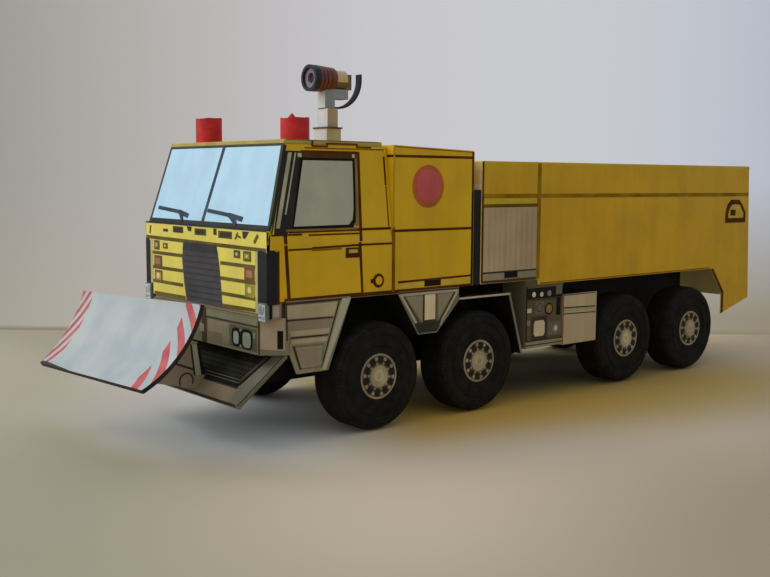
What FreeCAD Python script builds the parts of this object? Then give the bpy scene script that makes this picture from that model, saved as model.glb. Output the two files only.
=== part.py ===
import FreeCAD, Part
import math
import os

# A folded-card scale model of an eight-wheeled wildland fire truck, in millimetres.
# +X is forward, +Y is the truck's left side, +Z is up. The origin is on the floor
# under the middle of the model. Lengthwise places are given as the distance back
# from the cab's front face, and back() turns them into X.

Vector = FreeCAD.Vector

# --- card stock and fits ---
CARD = 0.5                  # folded body card
BOARD = 1.0                 # laminated board of the blade
ROD_CLEARANCE = 0.05        # radial, axle rod in its tube
SIDE_CLEARANCE = 0.5        # tyre to the end of its axle tube

# --- wheels ---
WHEEL_RADIUS = 13.3
TYRE_WIDTH = 9.8
TYRE_SHOULDER = 2.0
TYRE_FACE_PROUD = 0.6       # tyre's outer face outside the body's side
ROD_RADIUS = 1.0
TUBE_WALL = 0.9
FIRST_AXLE_BACK = 31.8
FRONT_SPREAD = 34.3         # first axle to second
REAR_SPREAD = 33.8          # third axle to fourth
REAR_OVERHANG = 32.4        # fourth axle to the top of the tail

# --- overall body ---
WIDTH = 58.1
ARCH_ROOM = 6.9             # top of the tyres to the underside of cab, module and tank front
BEAM_WIDTH = 18.0
BEAM_BELOW_AXLE = 2.5
BEAM_PAST_TYRE = 10.7       # beam's rear end behind the last tyre

# --- cab; heights are above its floor ---
CAB_LENGTH = 36.5
CAB_FOLD_HEIGHT = 12.8      # above this line the front and the sides lean inwards
CAB_HEIGHT = 35.4
CAB_STRIP_HEIGHT = 16.1     # the strip under the windscreen stands upright up to here
SCREEN_SETBACK = 6.4        # how far back the windscreen's top edge lies
CAB_TUMBLE = 2.8            # how far each side leans in at the top
CAB_FLAP_DROP = 2.8         # the front sheet hangs below the floor, in front of the bumper
CAB_FLAP_INSET = 3.55
ROOF_BOARD = 1.0
ROOF_BOARD_SETBACK = 1.5    # board's rear edge ahead of the cab's rear wall

# --- crew module, spacer and tank; heights are above the same floor ---
MODULE_LENGTH = 27.4
MODULE_HEIGHT = 35.8
MODULE_FALL = 0.9           # its roof is this much lower at the rear
SPACER_LENGTH = 2.8
SPACER_INSET = 0.3
SPACER_HEIGHT = 24.9
TANK_LENGTH = 128.5
TANK_HEIGHT = 32.4
TANK_FRONT_LENGTH = 22.5    # the shutter bay, whose floor is level with the cab's
TANK_FLOOR_DROP = 1.5
SKIRT_BEHIND_TYRE = 5.1     # skirt's upright front edge behind the last tyre
SKIRT_RAKE = 7.0
SKIRT_KNEE_RISE = 10.1       # above the axle
SKIRT_BOTTOM_RISE = 3.2     # above the axle
SKIRT_TAIL_RISE = 4.5       # the sides' lower edges slant up to the tail's corner
TAIL_LEAN = 2.6             # the rear wall's lower corner stands out this far

# --- bumper and skid plate ---
BUMPER_GAP = 3.6            # bumper's top below the cab's floor
BUMPER_HEIGHT = 8.7
BUMPER_DEPTH = 6.0
BUMPER_CORNER_WIDTH = 3.85  # the slanted corner at each end
BUMPER_CORNER_DEPTH = 4.9
SKID_CARD = 0.8
SKID_TOP_BACK = 4.9
SKID_TOP_INSET = 0.15
SKID_FOOT_REACH = 4.1       # ahead of the cab's front face
SKID_DROP = 12.0
SKID_FOOT_INSET = 6.55

# --- blade and its push arm ---
BLADE_TOP_WIDTH = 60.0
BLADE_FOOT_WIDTH = 55.2
BLADE_SHIFT = -0.9          # the blade is glued a little off the middle
BLADE_TOP_REACH = 16.6
BLADE_TOP_DROP = 0.2        # blade's upper edge below the cab's floor
BLADE_FOOT_REACH = 29.7
BLADE_DROP = 16.9
BLADE_SAGITTA_LEFT = 2.5    # depth of the curve at the model's left end
BLADE_SAGITTA_RIGHT = 1.5
BLADE_ROLL = 2.3            # degrees, the model's left end stands higher
ARM_WIDTH = 6.0
ARM_TOP_RISE = 0.6          # above the bumper's underside
ARM_TOP_REACH = 2.9         # arm's rear upper corner, ahead of the cab's front face
ARM_TAB_RISE = 4.3          # from the heel up to here the arm is glued to the skid plate
ARM_HEEL_RISE = 1.2         # above the skid plate's foot
ARM_TOE_RISE = 0.3          # above the blade's foot

# --- mudguards, steps and side equipment ---
GUARD_PAST_TYRE = 1.7       # mudguard's inner edge inside the tyre's inner face
STEP_FRONT = 5.0
STEP_FOOT_FRONT = 7.9
STEP_FOOT_DROP = 4.6        # below the bumper
STEP_FOOT_CLEARANCE = 2.2   # foot of the step to the first tyre
GUARD_1_FRONT_TUCK = 4.7    # guard's top corners inside the tyre's length
GUARD_1_REAR_TUCK = 6.9
VALLEY_RISE = 9.4           # above the axle
VALLEY_FRONT_TUCK = 0.1
VALLEY_REAR_CLEARANCE = 1.8
GUARD_2_ROOM = 4.0          # above the second tyre
GUARD_2_FRONT_TUCK = 6.0
GUARD_2_REAR_TUCK = 1.4
GUARD_2_FOOT_CLEARANCE = 4.0
GUARD_2_FOOT_RISE = 0.2     # above the axle
PUMP_GAP = 1.0              # behind the second mudguard
PUMP_SHARE = 0.506          # of the run between that gap and the third tyre
PUMP_RISE = 1.1             # underside above the axle
PUMP_DEPTH = 9.0
STOWAGE_CLEARANCE = 0.5     # to the third tyre
STOWAGE_TOP_DROP = 3.4      # below the tank's floor
STOWAGE_FOOT_DROP = 0.4     # below the pump panel's foot
STOWAGE_DEPTH = 11.0

# --- roof equipment ---
BEACON_BACK = 14.0
BEACON_INSET = 6.55         # beacon's axis inside the edge of the roof board
BEACON_RADIUS = 3.4
BEACON_HEIGHT_LEFT = 5.3
BEACON_HEIGHT_RIGHT = 6.7
MONITOR_SETBACK = 2.5                # post's axis behind the module's front
MONITOR_OFFSET = -1.2                # the monitor stands a little right of the middle
MONITOR_BASE = (4.7, 5.6, 4.8)       # length, width, height
MONITOR_FLANGE_LIP = (0.3, 0.35)     # beyond the base, lengthwise and sideways
MONITOR_FLANGE = 0.4
MONITOR_POST = (3.4, 4.6, 4.9)
YOKE_LENGTH = 3.2
YOKE_FORWARD = 2.0                   # yoke's front face ahead of the post's axis
YOKE_WIDTH = 3.4
CHEEK_REACH = 4.4                    # how far the side cheeks run back behind the yoke
CHEEK_HEIGHT = 2.6
BARREL_FORWARD = 6.1                 # muzzle's face ahead of the post's axis
BARREL_CLEAR = 5.1                   # breech's underside above the yoke's foot
MUZZLE_LENGTH = 1.9
MUZZLE_RADIUS = 3.45
BARREL_LENGTH = 5.4
BARREL_REAR_RADIUS = 3.05
BREECH_LENGTH = 3.8
BREECH_RADIUS = 2.5
BREECH_BLOCK = (2.0, 2.6, 4.0)
BREECH_BLOCK_TOP = 1.5               # above the barrel's axis
GUIDE_RADIUS = 8.0
GUIDE_STRAIGHT = 1.5                 # straight ends of the curved guide
GUIDE_WIDTH = 2.1

# --- places worked out from the sizes above ---
HALF = WIDTH / 2
FLOOR_Z = 2 * WHEEL_RADIUS + ARCH_ROOM
BEAM_BOTTOM_Z = WHEEL_RADIUS - BEAM_BELOW_AXLE

MODULE_REAR = CAB_LENGTH + MODULE_LENGTH
TANK_FRONT = MODULE_REAR + SPACER_LENGTH
TANK_REAR = TANK_FRONT + TANK_LENGTH
TANK_STEP = TANK_FRONT + TANK_FRONT_LENGTH
CAB_FRONT_X = (TANK_REAR + TAIL_LEAN - BLADE_FOOT_REACH) / 2

LAST_AXLE_BACK = TANK_REAR - REAR_OVERHANG
AXLES = (FIRST_AXLE_BACK, FIRST_AXLE_BACK + FRONT_SPREAD,
         LAST_AXLE_BACK - REAR_SPREAD, LAST_AXLE_BACK)
TYRE_FRONTS = [axle - WHEEL_RADIUS for axle in AXLES]
TYRE_REARS = [axle + WHEEL_RADIUS for axle in AXLES]
BEAM_END = TYRE_REARS[3] + BEAM_PAST_TYRE

CAB_FOLD_Z = FLOOR_Z + CAB_FOLD_HEIGHT
CAB_TOP_Z = FLOOR_Z + CAB_HEIGHT
ROOF_HALF = HALF - CAB_TUMBLE
MODULE_TOP_Z = FLOOR_Z + MODULE_HEIGHT
TANK_TOP_Z = FLOOR_Z + TANK_HEIGHT
TANK_FLOOR_Z = FLOOR_Z - TANK_FLOOR_DROP
SKIRT_FRONT = TYRE_REARS[3] + SKIRT_BEHIND_TYRE
SKIRT_START = SKIRT_FRONT - SKIRT_RAKE
SKIRT_BOTTOM_Z = WHEEL_RADIUS + SKIRT_BOTTOM_RISE
TAIL_CORNER_Z = SKIRT_BOTTOM_Z + SKIRT_TAIL_RISE

BUMPER_TOP_Z = FLOOR_Z - BUMPER_GAP
BUMPER_BOTTOM_Z = BUMPER_TOP_Z - BUMPER_HEIGHT
SKID_FOOT_Z = BUMPER_BOTTOM_Z - SKID_DROP
BLADE_TOP_Z = FLOOR_Z - BLADE_TOP_DROP
BLADE_FOOT_Z = BLADE_TOP_Z - BLADE_DROP

STEP_FOOT = (TYRE_FRONTS[0] - STEP_FOOT_CLEARANCE, BUMPER_BOTTOM_Z - STEP_FOOT_DROP)
GUARD_1 = [(TYRE_FRONTS[0] + GUARD_1_FRONT_TUCK, FLOOR_Z), (TYRE_REARS[0] - GUARD_1_REAR_TUCK, FLOOR_Z)]
VALLEY_Z = WHEEL_RADIUS + VALLEY_RISE
VALLEY = [(TYRE_REARS[0] - VALLEY_FRONT_TUCK, VALLEY_Z),
          (TYRE_FRONTS[1] - VALLEY_REAR_CLEARANCE, VALLEY_Z)]
GUARD_2_Z = 2 * WHEEL_RADIUS + GUARD_2_ROOM
GUARD_2 = [(TYRE_FRONTS[1] + GUARD_2_FRONT_TUCK, GUARD_2_Z),
           (TYRE_REARS[1] - GUARD_2_REAR_TUCK, GUARD_2_Z)]
GUARD_2_FOOT = (TYRE_REARS[1] + GUARD_2_FOOT_CLEARANCE, WHEEL_RADIUS + GUARD_2_FOOT_RISE)
PUMP_FRONT = GUARD_2_FOOT[0] + PUMP_GAP
STOWAGE_REAR = TYRE_FRONTS[2] - STOWAGE_CLEARANCE
PUMP_REAR = PUMP_FRONT + PUMP_SHARE * (STOWAGE_REAR - PUMP_FRONT)
PUMP_BOTTOM_Z = WHEEL_RADIUS + PUMP_RISE
MONITOR_BACK = CAB_LENGTH + MONITOR_SETBACK


def back(distance):
    """X of a place that lies this far behind the cab's front face."""
    return CAB_FRONT_X - distance


def save(node, shape):
    """Write one sub-part as parts/NODE.step."""
    if shape.isNull() or not shape.isValid() or not shape.Solids:
        raise RuntimeError("bad shape: " + node)
    shape.exportStep(os.path.join("parts", node + ".step"))


def save_pair(name, left):
    """Write a left-hand piece and its mirror image on the right."""
    save(name + "_left", left)
    save(name + "_right", left.mirror(Vector(0, 0, 0), Vector(0, 1, 0)))


def block(x0, x1, y0, y1, z0, z1):
    """An axis-parallel block between two corners, given in any order."""
    low = Vector(min(x0, x1), min(y0, y1), min(z0, z1))
    return Part.makeBox(abs(x1 - x0), abs(y1 - y0), abs(z1 - z0), low)


def card_box(x0, x1, y0, y1, z0, z1):
    """A closed box folded from card."""
    inside = block(min(x0, x1) + CARD, max(x0, x1) - CARD, y0 + CARD, y1 - CARD, z0 + CARD, z1 - CARD)
    return block(x0, x1, y0, y1, z0, z1).cut(inside)


def side_prism(outline, y0, y1):
    """An outline of (distance back, z) points, extruded across the truck."""
    points = [Vector(back(d), y0, z) for d, z in outline]
    face = Part.Face(Part.makePolygon(points + points[:1]))
    return face.extrude(Vector(0, y1 - y0, 0))


def front_prism(outline, front, rear):
    """An outline of (y, z) points, extruded rearwards between two distances back."""
    points = [Vector(back(front), y, z) for y, z in outline]
    face = Part.Face(Part.makePolygon(points + points[:1]))
    return face.extrude(Vector(front - rear, 0, 0))


def folded_strip(line, thickness, y0, y1):
    """A card strip folded along a line of (distance back, z) points.

    The line is the upper or outer face. The card's thickness lies on its right-hand
    side when the line is followed towards the rear.
    """
    normals = []
    for (d0, z0), (d1, z1) in zip(line, line[1:]):
        length = math.hypot(d1 - d0, z1 - z0)
        normals.append(((z1 - z0) / length, (d0 - d1) / length))
    inner = []
    for i, (d, z) in enumerate(line):
        before = normals[max(i - 1, 0)]
        after = normals[min(i, len(normals) - 1)]
        scale = thickness / (1 + before[0] * after[0] + before[1] * after[1])
        inner.append((d + scale * (before[0] + after[0]), z + scale * (before[1] + after[1])))
    return side_prism(list(line) + inner[::-1], y0, y1)


def cylinder_x(front, rear, radius_front, radius_rear, z):
    """A round or slightly conical piece of the monitor, lying lengthwise."""
    start = Vector(back(front), MONITOR_OFFSET, z)
    if radius_front == radius_rear:
        return Part.makeCylinder(radius_front, rear - front, start, Vector(-1, 0, 0))
    return Part.makeCone(radius_front, radius_rear, rear - front, start, Vector(-1, 0, 0))


def cab_outer(inset):
    """The cab's outside, or its inside when inset by the card's thickness."""
    lean = SCREEN_SETBACK / (CAB_TOP_Z - CAB_FOLD_Z)
    top = CAB_TOP_Z - inset
    fold = CAB_FOLD_Z
    side = side_prism([(inset, FLOOR_Z + inset), (inset, fold), (inset + lean * (top - fold), top),
                       (CAB_LENGTH - inset, top), (CAB_LENGTH - inset, FLOOR_Z + inset)],
                      -HALF, HALF)
    tumble = CAB_TUMBLE / (CAB_TOP_Z - CAB_FOLD_Z)
    wide = HALF - inset
    narrow = wide - tumble * (top - fold)
    front = front_prism([(-wide, FLOOR_Z + inset), (wide, FLOOR_Z + inset), (wide, fold),
                         (narrow, top), (-narrow, top), (-wide, fold)], 0, CAB_LENGTH)
    return side.common(front)


def make_cab():
    """Cab shell with its hanging front sheet and upright strip, and the board on its roof."""
    half_flap = HALF - CAB_FLAP_INSET
    flap = block(back(0), back(CARD), -half_flap, half_flap, FLOOR_Z - CAB_FLAP_DROP, FLOOR_Z)
    strip_top = FLOOR_Z + CAB_STRIP_HEIGHT
    ledge = SCREEN_SETBACK * (strip_top - CAB_FOLD_Z) / (CAB_TOP_Z - CAB_FOLD_Z)
    strip = side_prism([(0, CAB_FOLD_Z), (0, strip_top), (ledge + CARD / 2, strip_top), (CARD / 2, CAB_FOLD_Z)],
                       -HALF, HALF)
    shell = cab_outer(0).cut(cab_outer(CARD)).fuse(flap).fuse(strip).removeSplitter()
    save("cab_shell", shell)
    save("cab_roof", block(back(SCREEN_SETBACK), back(CAB_LENGTH - ROOF_BOARD_SETBACK),
                           -ROOF_HALF, ROOF_HALF, CAB_TOP_Z, CAB_TOP_Z + ROOF_BOARD))


def module_outer(inset):
    """The module's outside, or its inside when inset by the card's thickness."""
    slope = MODULE_FALL / MODULE_LENGTH
    front, rear = CAB_LENGTH + inset, MODULE_REAR - inset
    top = MODULE_TOP_Z - inset * math.hypot(1, slope) - slope * inset
    return side_prism([(front, FLOOR_Z + inset), (front, top), (rear, top - slope * (rear - front)),
                       (rear, FLOOR_Z + inset)], inset - HALF, HALF - inset)


def make_module():
    """Crew and pump module behind the cab, and the dark spacer behind it."""
    save("crew_module", module_outer(0).cut(module_outer(CARD)))
    half_spacer = HALF - SPACER_INSET
    save("module_spacer", card_box(back(MODULE_REAR), back(TANK_FRONT), -half_spacer, half_spacer,
                                   FLOOR_Z, FLOOR_Z + SPACER_HEIGHT))


def tail_back(z, inset):
    """Distance back of the leaning rear wall at this height, or of its inside."""
    slope = TAIL_LEAN / (TANK_TOP_Z - TAIL_CORNER_Z)
    return TANK_REAR + slope * (TANK_TOP_Z - z) - inset * math.hypot(1, slope)


def make_tank():
    """Tank body: a closed box with a skirt hanging round its tail, open underneath."""
    corner = tail_back(TAIL_CORNER_Z, 0)
    outline = [(TANK_FRONT, TANK_TOP_Z), (TANK_REAR, TANK_TOP_Z), (corner, TAIL_CORNER_Z),
               (SKIRT_FRONT, SKIRT_BOTTOM_Z), (SKIRT_FRONT, WHEEL_RADIUS + SKIRT_KNEE_RISE), (SKIRT_START, TANK_FLOOR_Z),
               (TANK_STEP, TANK_FLOOR_Z), (TANK_STEP, FLOOR_Z), (TANK_FRONT, FLOOR_Z)]
    outside = side_prism(outline, -HALF, HALF)
    top, floor = TANK_TOP_Z - CARD, TANK_FLOOR_Z + CARD
    hollow = side_prism([(TANK_FRONT + CARD, top), (tail_back(top, CARD), top),
                         (tail_back(floor, CARD), floor), (TANK_STEP + CARD, floor),
                         (TANK_STEP + CARD, FLOOR_Z + CARD), (TANK_FRONT + CARD, FLOOR_Z + CARD)],
                        CARD - HALF, HALF - CARD)
    below = SKIRT_BOTTOM_Z - CARD
    under = side_prism([(SKIRT_START - CARD, TANK_FLOOR_Z), (tail_back(TANK_FLOOR_Z, CARD), TANK_FLOOR_Z),
                        (tail_back(below, CARD), below), (SKIRT_START - CARD, below)],
                       CARD - HALF, HALF - CARD)
    save("tank_body", outside.cut(hollow).cut(under))


def make_chassis():
    """Closed box beam, with a paper tube glued across it for each axle rod."""
    half = BEAM_WIDTH / 2
    outline = [(BUMPER_DEPTH, FLOOR_Z), (TANK_STEP, FLOOR_Z), (TANK_STEP, TANK_FLOOR_Z),
               (BEAM_END, TANK_FLOOR_Z), (BEAM_END, BEAM_BOTTOM_Z), (BUMPER_DEPTH, BEAM_BOTTOM_Z)]
    hollow = [(BUMPER_DEPTH + CARD, FLOOR_Z - CARD), (TANK_STEP - CARD, FLOOR_Z - CARD),
              (TANK_STEP - CARD, TANK_FLOOR_Z - CARD), (BEAM_END - CARD, TANK_FLOOR_Z - CARD),
              (BEAM_END - CARD, BEAM_BOTTOM_Z + CARD), (BUMPER_DEPTH + CARD, BEAM_BOTTOM_Z + CARD)]
    beam = side_prism(outline, -half, half).cut(side_prism(hollow, CARD - half, half - CARD))
    beam = beam.cut(front_zone_of_skid())
    bore = ROD_RADIUS + ROD_CLEARANCE
    outer = bore + TUBE_WALL
    reach = HALF + TYRE_FACE_PROUD - TYRE_WIDTH - SIDE_CLEARANCE
    for number, axle in enumerate(AXLES, 1):
        start = Vector(back(axle), -reach, WHEEL_RADIUS)
        across = Vector(0, 1, 0)
        beam = beam.cut(Part.makeCylinder(outer, 2 * reach, start, across))
        tube = Part.makeCylinder(outer, 2 * reach, start, across)
        tube = tube.cut(Part.makeCylinder(bore, 2 * reach, start, across))
        save("axle_tube_%d" % number, tube)
    save("chassis_beam", beam)


def make_wheels():
    """Four rods, each with a laminated tyre glued on either end."""
    face = HALF + TYRE_FACE_PROUD
    for number, axle in enumerate(AXLES, 1):
        start = Vector(back(axle), -face, WHEEL_RADIUS)
        save("axle_rod_%d" % number,
             Part.makeCylinder(ROD_RADIUS, 2 * face, start, Vector(0, 1, 0)))
        centre = Vector(back(axle), face - TYRE_WIDTH, WHEEL_RADIUS)
        tyre = Part.makeCylinder(WHEEL_RADIUS, TYRE_WIDTH, centre, Vector(0, 1, 0))
        rims = [edge for edge in tyre.Edges if isinstance(edge.Curve, Part.Circle)]
        tyre = tyre.makeFillet(TYRE_SHOULDER, rims)
        tyre = tyre.cut(Part.makeCylinder(ROD_RADIUS, TYRE_WIDTH, centre, Vector(0, 1, 0)))
        save_pair("tyre_%d" % number, tyre)


def skid_x(z):
    """Distance back of the skid plate's front face at this height."""
    run = SKID_TOP_BACK + SKID_FOOT_REACH
    return SKID_TOP_BACK - run * (BUMPER_BOTTOM_Z - z) / SKID_DROP


def front_zone_of_skid():
    """All the space in front of the skid plate's rear face, below the bumper."""
    run = SKID_TOP_BACK + SKID_FOOT_REACH
    shift = SKID_CARD * math.hypot(SKID_DROP, run) / SKID_DROP
    low = min(BEAM_BOTTOM_Z, SKID_FOOT_Z) - CARD
    return side_prism([(skid_x(BUMPER_BOTTOM_Z) + shift, BUMPER_BOTTOM_Z), (skid_x(low) + shift, low),
                       (-BLADE_FOOT_REACH, low), (-BLADE_FOOT_REACH, BUMPER_BOTTOM_Z)],
                      -HALF, HALF)


def make_bumper():
    """Bumper box with slanted corners, and the skid plate that runs forward below it."""
    half_face = HALF - BUMPER_CORNER_WIDTH
    plan = [(0, -half_face), (0, half_face), (BUMPER_CORNER_DEPTH, HALF), (BUMPER_DEPTH, HALF),
            (BUMPER_DEPTH, -HALF), (BUMPER_CORNER_DEPTH, -HALF)]
    points = [Vector(back(d), y, BUMPER_BOTTOM_Z) for d, y in plan]
    bumper = Part.Face(Part.makePolygon(points + points[:1]))
    bumper = bumper.extrude(Vector(0, 0, BUMPER_TOP_Z - BUMPER_BOTTOM_Z))
    neck = block(back(CARD), back(BUMPER_DEPTH), -half_face, half_face, BUMPER_TOP_Z, FLOOR_Z)
    save("bumper", bumper.fuse(neck).removeSplitter())

    top, foot = HALF - SKID_TOP_INSET, HALF - SKID_FOOT_INSET
    corners = [Vector(back(SKID_TOP_BACK), -top, BUMPER_BOTTOM_Z),
               Vector(back(SKID_TOP_BACK), top, BUMPER_BOTTOM_Z),
               Vector(back(-SKID_FOOT_REACH), foot, SKID_FOOT_Z),
               Vector(back(-SKID_FOOT_REACH), -foot, SKID_FOOT_Z)]
    face = Part.Face(Part.makePolygon(corners + corners[:1]))
    rearward = Vector(-SKID_DROP, 0, -SKID_TOP_BACK - SKID_FOOT_REACH).normalize() * SKID_CARD
    save("skid_plate", face.extrude(rearward))


def blade_arc(y, sagitta, depth):
    """One arc of the blade's section, this deep behind its face, and its two ends."""
    run = BLADE_FOOT_REACH - BLADE_TOP_REACH
    chord = math.hypot(run, BLADE_DROP)
    radius = (chord * chord / 4 + sagitta * sagitta) / (2 * sagitta)
    offset = (radius - sagitta) / chord
    reach = (BLADE_TOP_REACH + BLADE_FOOT_REACH) / 2 + offset * BLADE_DROP
    height = (BLADE_TOP_Z + BLADE_FOOT_Z) / 2 + offset * run
    top_turn = math.atan2(BLADE_TOP_Z - height, BLADE_TOP_REACH - reach)
    foot_turn = math.atan2(BLADE_FOOT_Z - height, BLADE_FOOT_REACH - reach)
    if top_turn < 0:
        top_turn += 2 * math.pi
    if foot_turn < 0:
        foot_turn += 2 * math.pi
    points = [Vector(back(-(reach + (radius + depth) * math.cos(turn))), y,
                     height + (radius + depth) * math.sin(turn))
              for turn in (top_turn, (top_turn + foot_turn) / 2, foot_turn)]
    return Part.Arc(*points).toShape(), points[0], points[2]


def blade_loft(section):
    """Join the sections at the two ends of the blade; the ends are slanted afterwards."""
    half = BLADE_TOP_WIDTH / 2 + BOARD
    ends = [section(BLADE_SHIFT - half, BLADE_SAGITTA_RIGHT), section(BLADE_SHIFT + half, BLADE_SAGITTA_LEFT)]
    return Part.makeLoft(ends, True, True)


def board_section(y, sagitta):
    """Outline of the blade's board at one end."""
    front, front_top, front_foot = blade_arc(y, sagitta, 0)
    rear, rear_top, rear_foot = blade_arc(y, sagitta, BOARD)
    return Part.Wire([front, Part.makeLine(front_foot, rear_foot), rear, Part.makeLine(rear_top, front_top)])


def ahead_section(y, sagitta):
    """Outline of the space in front of the blade's rear face at one end."""
    rear, top, foot = blade_arc(y, sagitta, BOARD)
    ahead = back(-2 * BLADE_FOOT_REACH)
    far_foot, far_top = Vector(ahead, y, foot.z), Vector(ahead, y, top.z)
    return Part.Wire([rear, Part.makeLine(foot, far_foot), Part.makeLine(far_foot, far_top),
                      Part.makeLine(far_top, top)])


def rolled(shape):
    """Turn a piece about the blade's lengthwise middle line."""
    middle = Vector(0, 0, (BLADE_TOP_Z + BLADE_FOOT_Z) / 2)
    shape.rotate(middle, Vector(1, 0, 0), BLADE_ROLL)
    return shape


def blade_outline(front, rear):
    """Space between the blade's two slanting ends, seen from the front."""
    taper = (BLADE_TOP_WIDTH - BLADE_FOOT_WIDTH) / 2 / BLADE_DROP
    high, low = BLADE_TOP_Z + BOARD, BLADE_FOOT_Z - BOARD
    wide = BLADE_TOP_WIDTH / 2 + taper * BOARD
    narrow = BLADE_FOOT_WIDTH / 2 - taper * BOARD
    return front_prism([(BLADE_SHIFT - wide, high), (BLADE_SHIFT + wide, high),
                        (BLADE_SHIFT + narrow, low), (BLADE_SHIFT - narrow, low)], front, rear)


def make_blade():
    """Curved blade board, and the folded arm that carries it from the skid plate."""
    board = blade_loft(board_section).common(blade_outline(-BLADE_FOOT_REACH - BOARD, 0))
    save("blade", rolled(board))

    top = BUMPER_BOTTOM_Z + ARM_TOP_RISE
    tab, heel = SKID_FOOT_Z + ARM_TAB_RISE, SKID_FOOT_Z + ARM_HEEL_RISE
    arm = side_prism([(-ARM_TOP_REACH, top), (skid_x(tab), tab), (skid_x(heel), heel),
                      (-BLADE_FOOT_REACH, BLADE_FOOT_Z + ARM_TOE_RISE), (-BLADE_FOOT_REACH, top)],
                     -ARM_WIDTH / 2, ARM_WIDTH / 2)
    save("push_arm", arm.cut(rolled(blade_loft(ahead_section))))


def make_side_equipment():
    """Steps, mudguards, pump panels and stowage boxes along each side."""
    step = [(STEP_FRONT, FLOOR_Z), GUARD_1[0], STEP_FOOT, (STEP_FOOT_FRONT, STEP_FOOT[1]),
            (BUMPER_DEPTH, BUMPER_BOTTOM_Z), (BUMPER_DEPTH, BUMPER_TOP_Z), (STEP_FRONT, BUMPER_TOP_Z)]
    save_pair("step_panel", side_prism(step, HALF - CARD, HALF))

    inner = HALF + TYRE_FACE_PROUD - TYRE_WIDTH - GUARD_PAST_TYRE
    line = [STEP_FOOT] + GUARD_1 + VALLEY + GUARD_2 + [GUARD_2_FOOT]
    save_pair("mudguard", folded_strip(line, CARD, inner, HALF))

    valance = [GUARD_1[1]] + VALLEY + [GUARD_2[0], (GUARD_2[0][0], FLOOR_Z)]
    save_pair("valance", side_prism(valance, HALF - CARD, HALF))

    panel = card_box(back(PUMP_FRONT), back(PUMP_REAR), HALF - PUMP_DEPTH, HALF,
                     PUMP_BOTTOM_Z, TANK_FLOOR_Z)
    packing = block(back(PUMP_FRONT), back(min(PUMP_REAR, TANK_STEP)), HALF - PUMP_DEPTH, HALF,
                    TANK_FLOOR_Z, FLOOR_Z)
    save_pair("pump_panel", panel.fuse(packing).removeSplitter())
    save_pair("stowage_box", card_box(back(PUMP_REAR), back(STOWAGE_REAR), HALF - STOWAGE_DEPTH, HALF,
                                      PUMP_BOTTOM_Z - STOWAGE_FOOT_DROP, TANK_FLOOR_Z - STOWAGE_TOP_DROP))


def make_beacons():
    """Two rolled-paper beacons on the cab's roof, of slightly different height."""
    roof = CAB_TOP_Z + ROOF_BOARD
    for side, name, height in ((1, "left", BEACON_HEIGHT_LEFT), (-1, "right", BEACON_HEIGHT_RIGHT)):
        foot = Vector(back(BEACON_BACK), side * (ROOF_HALF - BEACON_INSET), roof)
        save("beacon_" + name, Part.makeCylinder(BEACON_RADIUS, height, foot))


def monitor_block(size, front, z):
    """A block of the monitor, its front face this far back and its underside at height z."""
    length, width, height = size
    return block(back(front), back(front + length), MONITOR_OFFSET - width / 2,
                 MONITOR_OFFSET + width / 2, z, z + height)


def standing_block(size, z):
    """A block of the monitor centred over its post's axis."""
    return monitor_block(size, MONITOR_BACK - size[0] / 2, z)


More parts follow.
